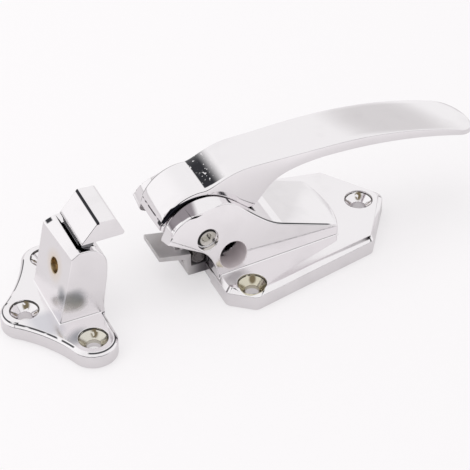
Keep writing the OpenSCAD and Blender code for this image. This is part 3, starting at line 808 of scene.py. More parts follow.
@dataclass
class Housing:
    """Cast body with its cover, cover screws, pivot pin and spring seat."""

    pivot: Triple
    body_edge: float = 0.5 * MM
    small_edge: float = 0.2 * MM
    pin_edge: float = 0.35 * MM
    rim_shade_tone: Triple = (0.28, 0.25, 0.27)
    rim_lean: float = 3.8 * MM
    rim_ys: Pair = mm(11.2, 14.3)
    rim_rs: Pair = mm(13.0, 13.5)
    lean_from: Pair = (48.0, 84.0)
    lean_to: Pair = (100.0, 164.0)
    pin_clear: float = 6.0 * MM
    arch_xs: Pair = mm(-47.1, -41.1)
    arch_rise: Pair = mm(2.6, 3.4)
    nose_x: float = -59.5 * MM
    nose_zs: Pair = mm(24.7, 29.9)
    flank: Triple = (0.0603, -0.9859, 0.1564)
    flank_foot: Triple = mm(-44.0, -19.5, 8.0)
    plate_t: float = 8.0 * MM
    level_slack: float = 0.01 * MM
    sink_places: tuple[Pair, ...] = (mm(-31.0, -28.4), mm(-31.0, 28.4), mm(30.0, 0.0))
    sink_tone: Triple = (0.64, 0.60, 0.49)
    hole_tone: Triple = (0.78, 0.71, 0.73)
    hole_offset: Triple = mm(10.1, -14.0, -10.2)
    hole_r: float = 5.8 * MM
    head_d: float = 5.4 * MM
    head_lip: float = 0.15 * MM
    head_grid: int = 33
    shank_d: float = 3.0 * MM
    shank_chamfer: float = 0.6 * MM
    recess: float = 1.1 * MM
    recess_reach: float = 0.58
    recess_w: float = 0.15
    recess_wall: float = 0.09

    def chrome(self) -> MetalFinish:
        """Chrome with painted shade and painted dark reflections laid over it.

        It has painted shade, with pits, on the front cheek's rim, and is dull on the plate beside the hump,
        tinted in the front countersink and bare in the access hole. A painted dark reflection lies along
        the hump's front edge, and lines of painted shade lie in the countersinks.

        Returns:
            The finish.
        """
        # Painted shade on the front cheek's rim, beside the barrel, with pits.
        rim = BoxPatch(
            self.rim_shade_tone, roughness=0.3, pits=0.2, centre=self.pivot,
            spans=(span(-13.5, -5.0, 1.0, 2.5), span(-14.5, -10.4, 0.3, 0.2), span(6.5, FAR_MM, 1.0)),
        )
        hole = RoundPatch(
            self.hole_tone, roughness=0.45, metallic=0.1, axis=Axis.Y, radius=self.hole_r, half=5.0 * MM,
            centre=tuple(np.add(self.pivot, self.hole_offset)),
        )
        dull = BoxPatch(
            CHROME.colour, roughness=0.55, centre=(0.0, 0.0, self.plate_t),
            spans=(span(-41.5, -31.0, 1.5, 4.0), span(-25.0, -19.0, 2.0, 1.0), span(-0.05, 0.05, 0.05)),
        )
        # Painted dark reflection along the hump's front edge.
        edge = SlabPatch(
            DARK_LINE, roughness=0.3, normal=self.flank, foot=self.flank_foot,
            slab=span(-0.8, -0.14, 0.2, 0.08), centre=(self.pivot[0], 0.0, 0.0),
            spans=(span(19.0, 52.0, 4.0, 2.0), None, span(12.4, FAR_MM, 0.4)),
        )
        sinks = Countersinks(self.sink_places, self.plate_t, self.sink_tone)
        patches = (rim, sinks.tint(), hole, dull, edge, *sinks.marks())
        return replace(CHROME, name="housing_chrome", patches=patches)

    def pin_steel(self) -> MetalFinish:
        """Steel with a dark crescent where the cheek's hole shades the pin's end.

        Returns:
            The finish.
        """
        shade = RoundPatch(
            (0.03, 0.03, 0.03), roughness=0.3, axis=Axis.Y,
            centre=tuple(np.add(self.pivot, mm(0.75, -14.0, -0.75))),
            radius=20.0 * MM, half=5.0 * MM, fade=0.35 * MM, hole=3.5 * MM,
        )
        return replace(STEEL, name="pin_steel", patches=(shade,))

    def arch_lift(self, x: np.ndarray, z: np.ndarray) -> np.ndarray:
        """Rise of the arch's outer edge.

        Args:
            x: The points' places along the latch.
            z: Their heights.

        Returns:
            The rise of each point.
        """
        start, end = self.arch_xs
        run = np.clip((x - start) / (end - start), 0.0, 1.0)
        rise = np.interp(x, (self.nose_x, start), self.arch_rise[::-1]) * (1.0 - run**2)
        low, high = self.nose_zs
        return rise * np.clip((high - z) / (high - low), 0.0, 1.0) * (z > self.plate_t - self.level_slack)

    def leaned(self, points: np.ndarray) -> np.ndarray:
        """Leans the cheeks' rims and raises the outer edge of the arch under the nose.

        The rim's radius falls with the distance from the gap, most at the top. The arch's rise falls
        to nothing at its foot by a parabola, and in a straight line up the nose. Points on a flank
        stay on its plane, as their Y follows from the plane's normal.

        Args:
            points: Points of shape (n, 3).

        Returns:
            The moved points.
        """
        away = points[:, ::2] - np.array(self.pivot)[::2]
        reach = np.maximum(np.hypot(away[:, 0], away[:, 1]), TINY)
        angle = np.degrees(np.arctan2(away[:, 1], away[:, 0]))
        outer = smooth_step(np.abs(points[:, 1]), *self.rim_ys)
        share = outer * smooth_step(reach, *self.rim_rs)
        share *= smooth_step(angle, *self.lean_from) * (1.0 - smooth_step(angle, *self.lean_to))
        moved = points.copy()
        shift = -away * (self.rim_lean * share / reach)[:, None]
        shift[:, 1] += outer * self.arch_lift(points[:, 0], points[:, 2]) * (reach > self.pin_clear)
        moved[:, ::2] += shift
        along = shift @ np.array(self.flank)[::2] / self.flank[1]
        moved[:, 1] += np.sign(points[:, 1]) * along
        return moved

    def cover_screws(self) -> Piece:
        """Four countersunk screws with cross recesses.

        Each head is a square grid drawn out to a disc, its height raised where the point lies in
        either arm of the cross. The cone, the shank and its chamfered end are the grid's border,
        scaled to each radius.

        Returns:
            One dressed piece.
        """
        low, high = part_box("cover_screws")
        side = np.linspace(-1.0, 1.0, self.head_grid)
        u, v = np.meshgrid(side, side, indexing="ij")
        disc = np.stack((u * np.sqrt(1.0 - 0.5 * v**2), v * np.sqrt(1.0 - 0.5 * u**2)), axis=-1)
        beside, along = (
            1.0 - smooth_step(np.abs(disc), end - self.recess_wall, end)
            for end in (self.recess_w + self.recess_wall, self.recess_reach)
        )
        arms = beside * along[..., ::-1]
        head_r, shank_r = 0.5 * self.head_d, 0.5 * self.shank_d
        depth = self.recess * arms.max(axis=-1)
        top = np.concatenate((disc * head_r, depth[..., None]), axis=-1).reshape(-1, 3)
        number = np.arange(len(top)).reshape(u.shape)
        border = np.concatenate((number[0, :-1], number[:-1, -1], number[-1, :0:-1], number[:0:-1, 0]))
        rim = disc.reshape(-1, 2)[border]
        length = high.z - low.z
        radii = np.array((head_r, shank_r, shank_r, shank_r - self.shank_chamfer))
        cone_end = self.head_lip + head_r - shank_r
        heights = np.array((self.head_lip, cone_end, length - self.shank_chamfer, length))
        rings = np.empty((len(radii), len(rim), 3))
        rings[..., :2] = rim[None] * radii[:, None, None]
        rings[..., 2] = heights[:, None]
        points = np.concatenate((top, rings.reshape(-1, 3)))
        below = len(top) + np.arange(radii.size * len(rim)).reshape(radii.size, -1)
        walls = np.concatenate((border[None], below))
        after = np.roll(walls, -1, axis=1)
        quads = np.stack((walls[:-1], after[:-1], after[1:], walls[1:]), axis=-1).reshape(-1, 4)
        faces = np.concatenate((grid_faces(*u.shape, close_columns=False), quads))
        xs, ys = ((near + head_r, far - head_r) for near, far in ((low.x, high.x), (low.y, high.y)))
        middles = np.array([(x, y, low.z) for x in xs for y in ys])
        shift = len(points) * np.arange(len(middles))[:, None]
        every = (faces[None] + shift[..., None]).reshape(-1, 4).tolist()
        ends = (walls[-1][None] + shift).tolist()
        piece = mesh_piece("cover_screw_set", middles[:, None, :] + points[None], every + ends, sharp=35.0)
        return dress(piece, STEEL, Body.HOUSING, "cover_screws")

    def build(self) -> None:
        """Makes the housing's pieces."""
        softened("latch_body", Body.HOUSING, self.chrome(), self.body_edge, self.leaned)
        softened("bottom_cover", Body.HOUSING, ZINC, self.small_edge)
        softened("pivot_pin", Body.HOUSING, self.pin_steel(), self.pin_edge)
        softened("spring_seat", Body.HOUSING, STEEL, self.small_edge)
        self.cover_screws()


@dataclass
class Handle:
    """Cast pull handle: a barrel hub with a stepped lip, a rising root and a long curved grip."""

    pivot: Triple
    tip_x: float
    top_z: float
    hub_w: float = 20.4 * MM
    grip_w: float = 21.8 * MM
    barrel_r: float = 19.1 * MM
    barrel_long_r: float = 18.1 * MM
    barrel_wall: float = 3.4 * MM
    barrel_end: float = 153.0
    lip_end: float = 164.0
    lip_gap: float = 0.7
    lip_points: int = 6
    lip_step: float = 0.4 * MM
    lip_groove: float = 0.35 * MM
    groove_turns: Triple = (1.6, 0.9, 0.0)
    hollow_end: float = 15.0
    root_rise: float = 2.0 * MM
    root_top: float = 22.0 * MM
    root_start_pull: Pair = mm(7.0, 1.2)
    root_end_pull: float = 10.0 * MM
    root_low: Pair = mm(22.0, 4.2)
    grip_flat: float = 52.0 * MM
    grip_t: float = 5.0 * MM
    grip_start_pull: Pair = mm(7.0, 5.5)
    grip_end_x: float = 26.0 * MM
    grip_end_sag: float = 0.8 * MM
    curve_r: float = 175.0 * MM
    tip_t: float = 2.6 * MM
    tip_slope: float = 3.0 * MM
    tip_round: float = 9.6 * MM
    tip_short: float = 1.7 * MM
    hub_edge: float = 1.3 * MM
    grip_edge: float = 0.4 * MM
    inner_edge: float = 0.4 * MM
    crown: float = 0.3 * MM
    edge_limit: float = 0.9
    inner_share: float = 0.25
    outer_share: float = 0.7
    edge_ease: float = 0.4
    web_t: float = 6.8 * MM
    web_r: float = 16.2 * MM
    web_rise: Pair = mm(4.0, 5.0)
    web_edge: float = 0.4 * MM
    finger_half: float = 5.5 * MM
    finger_r: float = 4.5 * MM
    finger_low: float = -5.3 * MM
    finger_turns: Pair = (185.7, 354.3)
    drive_r: float = 15.2 * MM
    boss_r: float = 8.55 * MM
    boss_bore: float = 5.55 * MM
    boss_half: float = 9.4 * MM
    boss_chamfer: float = 0.4 * MM
    spring_r: float = 9.75 * MM
    spring_wire: float = 1.4 * MM
    spring_turns: float = 3.0
    spring_pitch: float = 1.55 * MM
    spring_start: float = -4.5 * MM
    leg_reach: Pair = mm(18.5, 12.6)
    leg_angle: float = -30.0
    bend_turn: float = 36.0
    bend_pulls: Pair = mm(2.0, 3.0)
    small_edge: float = 0.2 * MM
    stations: int = 28
    corner_points: int = 7
    face_points: int = 8
    web_points: int = 40
    finger_points: int = 20
    boss_points: int = 64
    leg_points: int = 5
    bend_points: int = 8
    coil_points: int = 150

    def chrome(self) -> MetalFinish:
        """Chrome with painted shade and painted dark reflections laid over it.

        Painted shade, pitted and speckled, lies behind the crease at the root. Painted shade lies as dark
        lines along the lip's seam and in its front notch, and in the gap at the rim of the barrel's front
        end. A painted dark reflection lies along the barrel's rear edge.

        Returns:
            The finish.
        """
        x, _, z = self.pivot
        half = 0.5 * self.hub_w
        half_mm = half / MM
        past_hollow = span(15.0, FAR_MM, 1.0)
        shade = BoxPatch(
            DEEP_SHADE, roughness=0.32, pits=0.6, speck_level=0.66, centre=(x + self.root_rise, 0.0, z),
            spans=(span(0.4, 4.0, 0.4, 5.5), span(1.4 - half_mm, 4.0, 0.4, 32.0), span(16.5, FAR_MM, 1.0)),
        )
        # Painted shade: a dark line along the lip's seam.
        seam_shade = BoxPatch(
            (0.10, 0.09, 0.10), roughness=0.3, speck_level=0.56, speck_scale=500.0,
            centre=self.pivot, tilt=self.barrel_end,
            spans=(past_hollow, span(-6.0, 6.0, 0.5, 1.0), span(0.0, 0.45, 0.1, 0.15)),
        )
        # Painted shade in the lip's front notch.
        notch_shade = BoxPatch(
            (0.05, 0.05, 0.055), roughness=0.3, centre=self.pivot, tilt=self.barrel_end,
            spans=(past_hollow, span(-8.9, -7.0, 0.3, 0.8), span(0.0, 1.5, 0.3, 0.4)),
        )
        # Painted dark reflection along the barrel's rear edge.
        rear = BoxPatch(
            (0.16, 0.15, 0.16), roughness=0.3, centre=self.pivot,
            spans=(
                span(-FAR_MM, -12.0, 1.0, 18.0), span(half_mm - 0.95, FAR_MM, 0.3), span(6.0, FAR_MM, 1.0),
            ),
        )
        # Painted shade in the gap at the rim of the barrel's front end.
        front = RoundPatch(
            (0.015, 0.015, 0.02), roughness=0.25, centre=(x - 1.7 * MM, -half, z - 2.9 * MM), axis=Axis.Y,
            radius=19.6 * MM, half=0.8 * MM, fade=0.15 * MM, hole=17.4 * MM,
        )
        return replace(CHROME, name="handle_chrome", patches=(shade, seam_shade, notch_shade, rear, front))

    def barrel_curves(self) -> tuple[np.ndarray, np.ndarray]:
        """Lip and barrel: an oval outside, stepped down and grooved at the lip, and a circle inside.

        Returns:
            Outer and inner points, measured from the pivot.
        """
        groove = self.barrel_end + np.array(self.groove_turns)
        lip = np.concatenate((np.linspace(self.lip_end, groove[0] + self.lip_gap, self.lip_points), groove))
        cut = np.full(len(lip), self.lip_step)
        cut[self.lip_points:] += self.lip_groove
        rise = math.degrees(math.acos(self.root_rise / self.barrel_long_r))
        barrel = np.linspace(self.barrel_end, rise, self.stations)
        angles = np.concatenate((lip, barrel))
        outer = oval((self.barrel_long_r, self.barrel_r), angles)
        full = np.array((self.barrel_long_r, self.barrel_r))
        outer[: len(lip)] *= (full - cut[:, None]) / full
        inner_r = self.barrel_r - self.barrel_wall
        return outer, oval((inner_r, inner_r), angles)

    def root_curves(self, rise: np.ndarray, hollow: np.ndarray) -> tuple[np.ndarray, np.ndarray]:
        """Root: a cubic rise outside; inside, the hub's hollow and a straight run to the grip.

        Args:
            rise: Where the barrel's outer curve ends.
            hollow: Where its inner curve ends.

        Returns:
            Outer and inner points, measured from the pivot.
        """
        top = self.top_z - self.pivot[2]
        end = np.array((self.root_top, top))
        points = np.array((
            rise, rise + np.array(self.root_start_pull), end - np.array((self.root_end_pull, 0.0)), end,
        ))
        outer = bezier(points, np.linspace(0.0, 1.0, self.stations)[1:])
        inner_r = self.barrel_r - self.barrel_wall
        start = math.degrees(math.atan2(hollow[1], hollow[0]))
        curve = oval((inner_r, inner_r), np.linspace(start, self.hollow_end, self.stations))
        inner = respaced(np.concatenate((curve, np.array((self.root_low,)))), self.stations)[1:]
        return outer, inner

    def grip_curves(self) -> tuple[np.ndarray, np.ndarray]:
        """Grip: flat, then an arc that falls to the tip, over a cubic and an arc that meet it there.

        Returns:
            Outer and inner points, measured from the pivot.
        """
        top, length = self.top_z - self.pivot[2], self.tip_x - self.tip_short - self.pivot[0]
        low = top - self.grip_t
        share = np.linspace(0.0, 1.0, self.stations)[1:]
        along = self.root_top + share * (self.grip_flat - self.root_top)
        flat = np.stack((along, np.full(len(share), top)), axis=1)
        start = np.array(self.root_low)
        points = np.array((
            start, start + np.array(self.grip_start_pull),
            (self.grip_end_x, low - self.grip_end_sag), (self.grip_flat, low),
        ))
        spread = np.sin(0.5 * math.pi * np.linspace(0.0, 1.0, 3 * self.stations))[1:]
        reach = (length - self.grip_flat) * spread
        drop = self.curve_r - np.sqrt(self.curve_r**2 - reach**2)
        low_reach = length - self.tip_slope - self.grip_flat
        low_drop = self.curve_r - math.sqrt(self.curve_r**2 - low_reach**2) - self.grip_t + self.tip_t
        low_r = (low_reach**2 + low_drop**2) / (2.0 * low_drop)
        under = low_r - np.sqrt(low_r**2 - reach**2)
        x = self.grip_flat + reach
        outer = np.concatenate((flat, np.stack((x, top - drop), axis=1)))
        inner = np.concatenate((bezier(points, share), np.stack((x, low - under), axis=1)))
        return outer, inner

    def half_widths(self, x: np.ndarray) -> np.ndarray:
        """Half width at each X from the pivot: hub width, easing to the grip's, with a round tip.

        Args:
            x: Places from the pivot.

        Returns:
            Half widths.
        """
        ease = smooth_step(x, self.root_low[0], self.grip_flat)
        half = 0.5 * (self.hub_w + (self.grip_w - self.hub_w) * ease)
        end = self.tip_x - self.tip_short - self.pivot[0]
        past = np.clip(x - (end - self.tip_round), 0.0, self.tip_round)
        return half - self.tip_round + np.sqrt(np.maximum(self.tip_round**2 - past**2, 0.0))

    def sections(self, x: np.ndarray, thick: np.ndarray) -> np.ndarray:
        """Rounded rectangles: corner centres drawn in by the edge radius, plus a quarter arc at each.

        The outer edges are rounder than the inner ones, and the outer face falls away a little
        with the square of the distance from the middle.

        Args:
            x: Place of each station from the pivot.
            thick: Thickness of each station.

        Returns:
            Points of shape (stations, points, 2): across, and up from the inner curve.
        """
        half = self.half_widths(x)[:, None]
        limit = self.edge_limit * np.minimum(half, thick[:, None])
        ease = smooth_step(x, self.root_rise, self.edge_ease * self.root_top)[:, None]
        wanted = self.hub_edge + (self.grip_edge - self.hub_edge) * ease
        inner = np.minimum(self.inner_edge, self.inner_share * limit)
        outer = np.minimum(wanted, self.outer_share * limit)
        quarter = np.linspace(0.0, 0.5 * math.pi, self.corner_points)
        face = np.linspace(1.0, -1.0, self.face_points + 2)[1:-1]
        level = np.ones_like(face)
        thick = thick[:, None]
        across = np.concatenate((
            half - outer + outer * np.cos(quarter), (half - outer) * face,
            outer - half - outer * np.sin(quarter), inner - half - inner * np.cos(quarter),
            (inner - half) * face, half - inner + inner * np.sin(quarter),
        ), axis=1)
        up = np.concatenate((
            thick - outer + outer * np.sin(quarter), thick * level,
            thick - outer + outer * np.cos(quarter), inner - inner * np.sin(quarter),
            0.0 * thick * level, inner - inner * np.cos(quarter),
        ), axis=1)
        wide = across / np.maximum(half, TINY)
        return np.stack((across, up - self.crown * wide**2 * up / thick), axis=-1)

    def placed(self, flat: np.ndarray, across: np.ndarray | float) -> np.ndarray:
        """Puts points of the side view, measured from the pivot, in their place.

        Args:
            flat: Points whose last axis holds along and up.
            across: Their Y, of the same shape without that axis, or one number.

        Returns:
            Points in the shared frame.
        """
        along, up = self.pivot[0] + flat[..., 0], self.pivot[2] + flat[..., 1]
        return np.stack(np.broadcast_arrays(along, across, up), axis=-1)

    def lever(self) -> Piece:
        """Carries the section along the two side curves.

        Returns:
            The dressed casting.
        """
        barrel = self.barrel_curves()
        root = self.root_curves(barrel[0][-1], barrel[1][-1])
        grip = self.grip_curves()
        outer, inner = (np.concatenate(parts) for parts in zip(barrel, root, grip))
        through = outer - inner
        thick = np.linalg.norm(through, axis=1)
        section = self.sections(outer[:, 0], thick)
        flat = inner[:, None, :] + (through / thick[:, None])[:, None, :] * section[..., 1:2]
        rings = self.placed(flat, section[..., 0])
        return dress(skin_piece("handle_casting", rings), self.chrome(), Body.HANDLE, "handle_lever")

    def web(self) -> Piece:
        """Web and finger: a disc's arc, straight sides and a round end, drawn out across the hub.

        Returns:
            The dressed web.
        """
        left, right = (math.degrees(math.asin(rise / self.web_r)) for rise in self.web_rise)
        half, low = self.finger_half, self.finger_low
        disc = np.linspace(right, 0.5 * FULL_TURN - left, self.web_points)
        finger = np.linspace(*self.finger_turns, self.finger_points)
        outline = np.concatenate((
            oval((self.web_r, self.web_r), disc),
            np.array(((-half, self.web_rise[0]), (-half, low))),
            oval((self.finger_r, self.finger_r), finger, (0.0, -self.drive_r)),
            np.array(((half, low), (half, self.web_rise[1]))),
        ))
        side = np.array((-0.5, 0.5)) * self.web_t
        rings = self.placed(outline[None], side[:, None])
        piece = round_edges(skin_piece("hub_web", rings), self.web_edge)
        return dress(piece, DULL_CAST, Body.HANDLE)

    def boss(self) -> Piece:
        """Boss: a chamfered rectangle turned about the pivot's axis.

        Returns:
            The dressed boss.
        """
        r, bore, half = self.boss_r, self.boss_bore, self.boss_half
        flat_r, flat_half = r - self.boss_chamfer, half - self.boss_chamfer
        radii = np.array((bore, flat_r, r, r, flat_r, bore))
        across = np.array((-half, -half, -flat_half, flat_half, half, half))
        turn = np.linspace(0.0, 2.0 * math.pi, self.boss_points, endpoint=False)[:, None]
        points = self.placed(np.stack((radii * np.cos(turn), radii * np.sin(turn)), axis=-1), across)
        faces = grid_faces(len(turn), len(radii), close_rows=True).tolist()
        return dress(mesh_piece("hub_boss", points, faces), DULL_CAST, Body.HANDLE)

    def spring(self) -> Piece:
        """Return spring: a straight leg, a cubic bend and a helix towards the front.

        Returns:
            The dressed spring, which stays on the housing.
        """
        start = np.radians(self.leg_angle)
        out = np.array((math.cos(start), math.sin(start)))
        leg = np.linspace(*self.leg_reach, self.leg_points)[:, None] * out
        coil_end = self.leg_angle + FULL_TURN * self.spring_turns
        turn = np.radians(np.linspace(self.leg_angle + self.bend_turn, coil_end, self.coil_points))
        coil = self.spring_r * np.stack((np.cos(turn), np.sin(turn)), axis=1)
        ahead = np.array((-math.sin(turn[0]), math.cos(turn[0])))
        leg_pull, coil_pull = self.bend_pulls
        points = np.array((leg[-1], leg[-1] - leg_pull * out, coil[0] - coil_pull * ahead, coil[0]))
        curve = bezier(points, np.linspace(0.0, 1.0, self.bend_points + 2)[1:-1])
        flat = np.concatenate((leg, curve, coil))
        sunk = np.zeros(len(flat))
        sunk[-len(turn):] = self.spring_pitch * np.degrees(turn - turn[0]) / FULL_TURN
        path = self.placed(flat, self.spring_start - sunk)
        piece = wire_piece("handle_return_spring", path, (0.0, 1.0, 0.0), 0.5 * self.spring_wire)
        return dress(piece, WIRE, Body.HOUSING, "handle_spring")

    def build(self) -> None:
        """Makes the handle and what rides in its hub."""
        self.lever()
        self.web()
        self.boss()
        self.spring()
        for node, finish in (
            ("handle_bush_front", BRONZE), ("handle_bush_rear", BRONZE),
            ("drive_pin", SHADED_STEEL), ("drive_rollers", SHADED_STEEL),
        ):
            softened(node, Body.HANDLE, finish, self.small_edge)


@dataclass
class BoltTrain:
    """Sliding bolt with its guide rod and the spring that throws it."""

    pivot: Triple
    bolt_edge: float = 0.35 * MM
    rod_edge: float = 0.3 * MM
    wire_d: float = 1.2 * MM
    wire_share: float = 0.49
    turns: int = 9
    turn_points: int = 24
    travel: float = 9.0 * MM

    def satin(self) -> MetalFinish:
        """Satin plating with painted shade, with pits, on the fork, darker towards the nose's arch.

        Returns:
            The finish.
        """
        # Painted shade on the fork under the nose, darker towards the arch.
        fork_shade = BoxPatch(
            (0.13, 0.12, 0.13), roughness=0.4, pits=0.2, centre=(self.pivot[0], 0.0, 0.0),
            spans=(span(1.5, FAR_MM, 7.5), None, span(-FAR_MM, 10.5, 1.5)),
        )
        return replace(SATIN, name="bolt_plating", patches=(fork_shade,))

    def spring(self) -> Piece:
        """Helix whose rise is one wire a turn at each closed end and even between them.

        Returns:
            The dressed spring, which stays on the housing.
        """
        low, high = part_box("bolt_spring")
        middle = 0.5 * (low + high)
        coil_r = 0.5 * (high.y - low.y - self.wire_d)
        turn = np.linspace(0.0, self.turns, self.turn_points * self.turns + 1)
        free = high.x - low.x - 3.0 * self.wire_d
        ends = np.minimum(turn, 1.0) + np.maximum(turn - self.turns + 1.0, 0.0)
        share = np.clip((turn - 1.0) / (self.turns - 2.0), 0.0, 1.0)
        x = low.x + 0.5 * self.wire_d + ends * self.wire_d + free * share
        angle = 2.0 * math.pi * turn
        path = np.stack((x, middle.y + coil_r * np.cos(angle), middle.z + coil_r * np.sin(angle)), axis=1)
        piece = wire_piece("bolt_return_spring", path, (1.0, 0.0, 0.0), self.wire_share * self.wire_d)
        dress(piece, WIRE, Body.HOUSING, "bolt_spring")
        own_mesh(piece)
        return piece

    def build(self) -> None:
        """Makes the bolt's pieces."""
        softened("latch_bolt", Body.BOLT, self.satin(), self.bolt_edge)
        softened("bolt_guide_rod", Body.BOLT, STEEL, self.rod_edge)
        self.spring()


@dataclass
class Strike:
    """Cast foot and post, the hooked head that slides in it and the screw that locks it."""

    base_edge: float = 0.5 * MM
    head_edge: float = 0.45 * MM
    screw_edge: float = 0.3 * MM
    ridge_in: float = 7.2 * MM
    head_h: float = 8.6 * MM
    foot_t: float = 7.0 * MM
    sink_places: tuple[Pair, ...] = (mm(-97.3, -30.4), mm(-97.3, 20.6), mm(-115.1, -4.9))
    sink_tone: Triple = (0.68, 0.65, 0.58)
    screw_place: Triple = mm(-101.5, -4.9, 24.4)
    post_left: Pair = mm(-108.3, -98.8)
    post_right: float = -84.0 * MM
    post_front: Pair = mm(-18.4, -16.25)
    post_rear: Pair = mm(8.6, 6.45)
    post_slack: float = 0.05 * MM
    foot_slack: float = 1e-3
    shoulder_h: float = 34.4 * MM
    slot: Pair = mm(-95.1, 3.0)
    rear_out: Pair = mm(1.1, 3.2)
    foot_in: float = 2.4 * MM
    corner_out: float = 1.6 * MM

    def widened(self, points: np.ndarray) -> np.ndarray:
        """Widens the post behind its slot and steepens its left face.

        A point's move across the post grows in a straight line from the slot to the rear wall, and
        its move along the post from the slot to the left face. Both change in a straight line from
        the foot to the shoulder.

        Args:
            points: Points of shape (n, 3).

        Returns:
            The moved points.
        """
        x, y, z = points.T
        rise = (z - self.foot_t) / (self.shoulder_h - self.foot_t)
        up = np.clip(rise, 0.0, 1.0)
        walls = (self.post_left, self.post_front, self.post_rear)
        left, front, rear = (low + (high - low) * rise for low, high in walls)
        left = np.minimum(left, self.post_left[1])
        slack = self.post_slack
        inside = (x > left - slack) & (x < self.post_right) & (y > front - slack) & (y < rear + slack)
        inside &= rise > -self.foot_slack
        behind = np.clip((y - self.slot[1]) / (rear - self.slot[1]), 0.0, 1.0)
        across = np.clip((y - front) / (rear - front), 0.0, 1.0)
        beside = 1.0 - np.clip((x - left) / (self.slot[0] - left), 0.0, 1.0)
        moved = points.copy()
        moved[:, 0] += inside * beside * ((1.0 - up) * self.foot_in - up * across * self.corner_out)
        moved[:, 1] += inside * behind * (self.rear_out[0] + (self.rear_out[1] - self.rear_out[0]) * up)
        return moved

    def head_chrome(self) -> MetalFinish:
        """Chrome with a painted dark reflection along the head's ridge and painted shade, with pits, on the
        neck under the head.

        Returns:
            The finish.
        """
        low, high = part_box("strike_head")
        # Painted dark reflection along the head's ridge.
        line = BoxPatch(
            DEEP_SHADE, roughness=0.3, centre=(low.x + self.ridge_in, 0.0, high.z),
            spans=(span(-0.45, 0.45, 0.12), None, span(-0.9, FAR_MM, 0.12)),
        )
        # Painted shade, with pits, on the neck under the head.
        neck_shade = BoxPatch(
            (0.20, 0.20, 0.21), roughness=0.32, pits=0.3, centre=(0.0, 0.0, high.z - self.head_h),
            spans=(None, None, span(-FAR_MM, -0.15, 1.0, 0.25)),
        )
        return replace(CHROME, name="strike_head_chrome", patches=(line, neck_shade))

    def base_chrome(self) -> MetalFinish:
        """Chrome with painted shade, painted dark reflections and dark marks laid over it.

        It is duller at the post's foot, has painted shade on the foot beside it and painted dark
        reflections on the post's left and front faces. A dark spot lies at the post's rear corner, and a
        dark broken line round the foot's upper edge. The front countersink and the place round the set
        screw are tinted, and lines of painted shade lie in the countersinks.

        Returns:
            The finish.
        """
        level = (0.0, 0.0, self.foot_t)
        dull = BoxPatch(
            CHROME.colour, roughness=0.26, centre=level, spans=(None, None, span(1.5, 8.0, 0.9, 5.0))
        )
        shade = BoxPatch(
            (0.66, 0.65, 0.69), roughness=0.16, centre=level,
            spans=(span(-113.0, -108.0, 6.0, 5.0), span(-20.0, -12.0, 6.0, 5.0), span(-0.05, 0.05, 0.05)),
        )
        # Painted dark reflections on the post's left and front faces.
        painted_reflections = (
            RoundPatch(
                (0.36, 0.37, 0.39), roughness=0.24, centre=mm(-102.6, -15.2, 17.6), axis=Axis.X,
                radius=0.4 * MM, half=3.0 * MM, fade=4.6 * MM,
            ),
            RoundPatch(
                (0.38, 0.39, 0.41), roughness=0.24, centre=mm(-98.8, -17.5, 16.2), axis=Axis.Y,
                radius=0.6 * MM, half=3.0 * MM, fade=5.6 * MM,
            ),
        )
        spot = BoxPatch(
            DARK_LINE, roughness=0.3,
            spans=(span(-99.8, -97.6, 0.6), span(7.4, FAR_MM, 0.8), span(34.9, FAR_MM, 0.3)),
        )
        halo = RoundPatch(
            (0.85, 0.77, 0.70), roughness=0.12, centre=self.screw_place, axis=Axis.X,
            radius=3.0 * MM, half=6.0 * MM, fade=5.0 * MM,
        )
        bore = RoundPatch(
            (0.45, 0.35, 0.21), roughness=0.34, centre=self.screw_place, axis=Axis.X,
            radius=3.1 * MM, half=3.6 * MM, fade=0.5 * MM,
        )
        outline = BoxPatch(
            (0.07, 0.07, 0.075), roughness=0.3, speck_level=0.56, speck_scale=160.0, centre=level,
            spans=(None, None, span(-0.5, -0.2, 0.15, 0.1)),
        )
        sinks = Countersinks(self.sink_places, self.foot_t, self.sink_tone)
        patches = (dull, shade, *painted_reflections, spot, sinks.tint(), halo, bore, outline, *sinks.marks())
        return replace(CHROME, name="strike_base_chrome", patches=patches)

    def build(self) -> None:
        """Makes the strike's pieces."""
        softened("strike_base", Body.HOUSING, self.base_chrome(), self.base_edge, self.widened)
        softened("strike_head", Body.STRIKE_HOOK, self.head_chrome(), self.head_edge)
        softened("strike_set_screw", Body.HOUSING, BRASS, self.screw_edge)


@dataclass(frozen=True)
class Lamp:
    """A square soft lamp that polished metal does not see."""

    name: str
    place: Triple
    size: float
    power: float

    def build(self, aim: Triple) -> None:
        """Makes the lamp.

        Args:
            aim: The point that it faces.
        """
        lamp = bpy.data.lights.new(self.name, "AREA")
        lamp.shape = "SQUARE"
        lamp.size = self.size
        lamp.energy = self.power
        holder = linked(self.name, lamp)
        holder.visible_glossy = False
        turn = (Vector(aim) - Vector(self.place)).to_track_quat("-Z", "Y").to_matrix()
        holder.matrix_world = Matrix.Translation(self.place) @ turn.to_4x4()


@dataclass(frozen=True)
class Side:
    """A round part of the surroundings with a colour of its own, placed and sized by angles in degrees."""

    colour: Triple
    azimuth: float
    height: float
    inner: float
    outer: float

    def share(self, nodes: Nodes, place: Socket) -> Socket:
        """How much of the side lies in each direction: a rise with the cosine from its middle.

        Args:
            nodes: The world's nodes.
            place: The direction.

        Returns:
            The share, 0 to 1.
        """
        ends = (math.cos(math.radians(self.outer)), math.cos(math.radians(self.inner)))
        return nodes.ramp(nodes.dot(place, heading(self.azimuth, self.height)), ends)


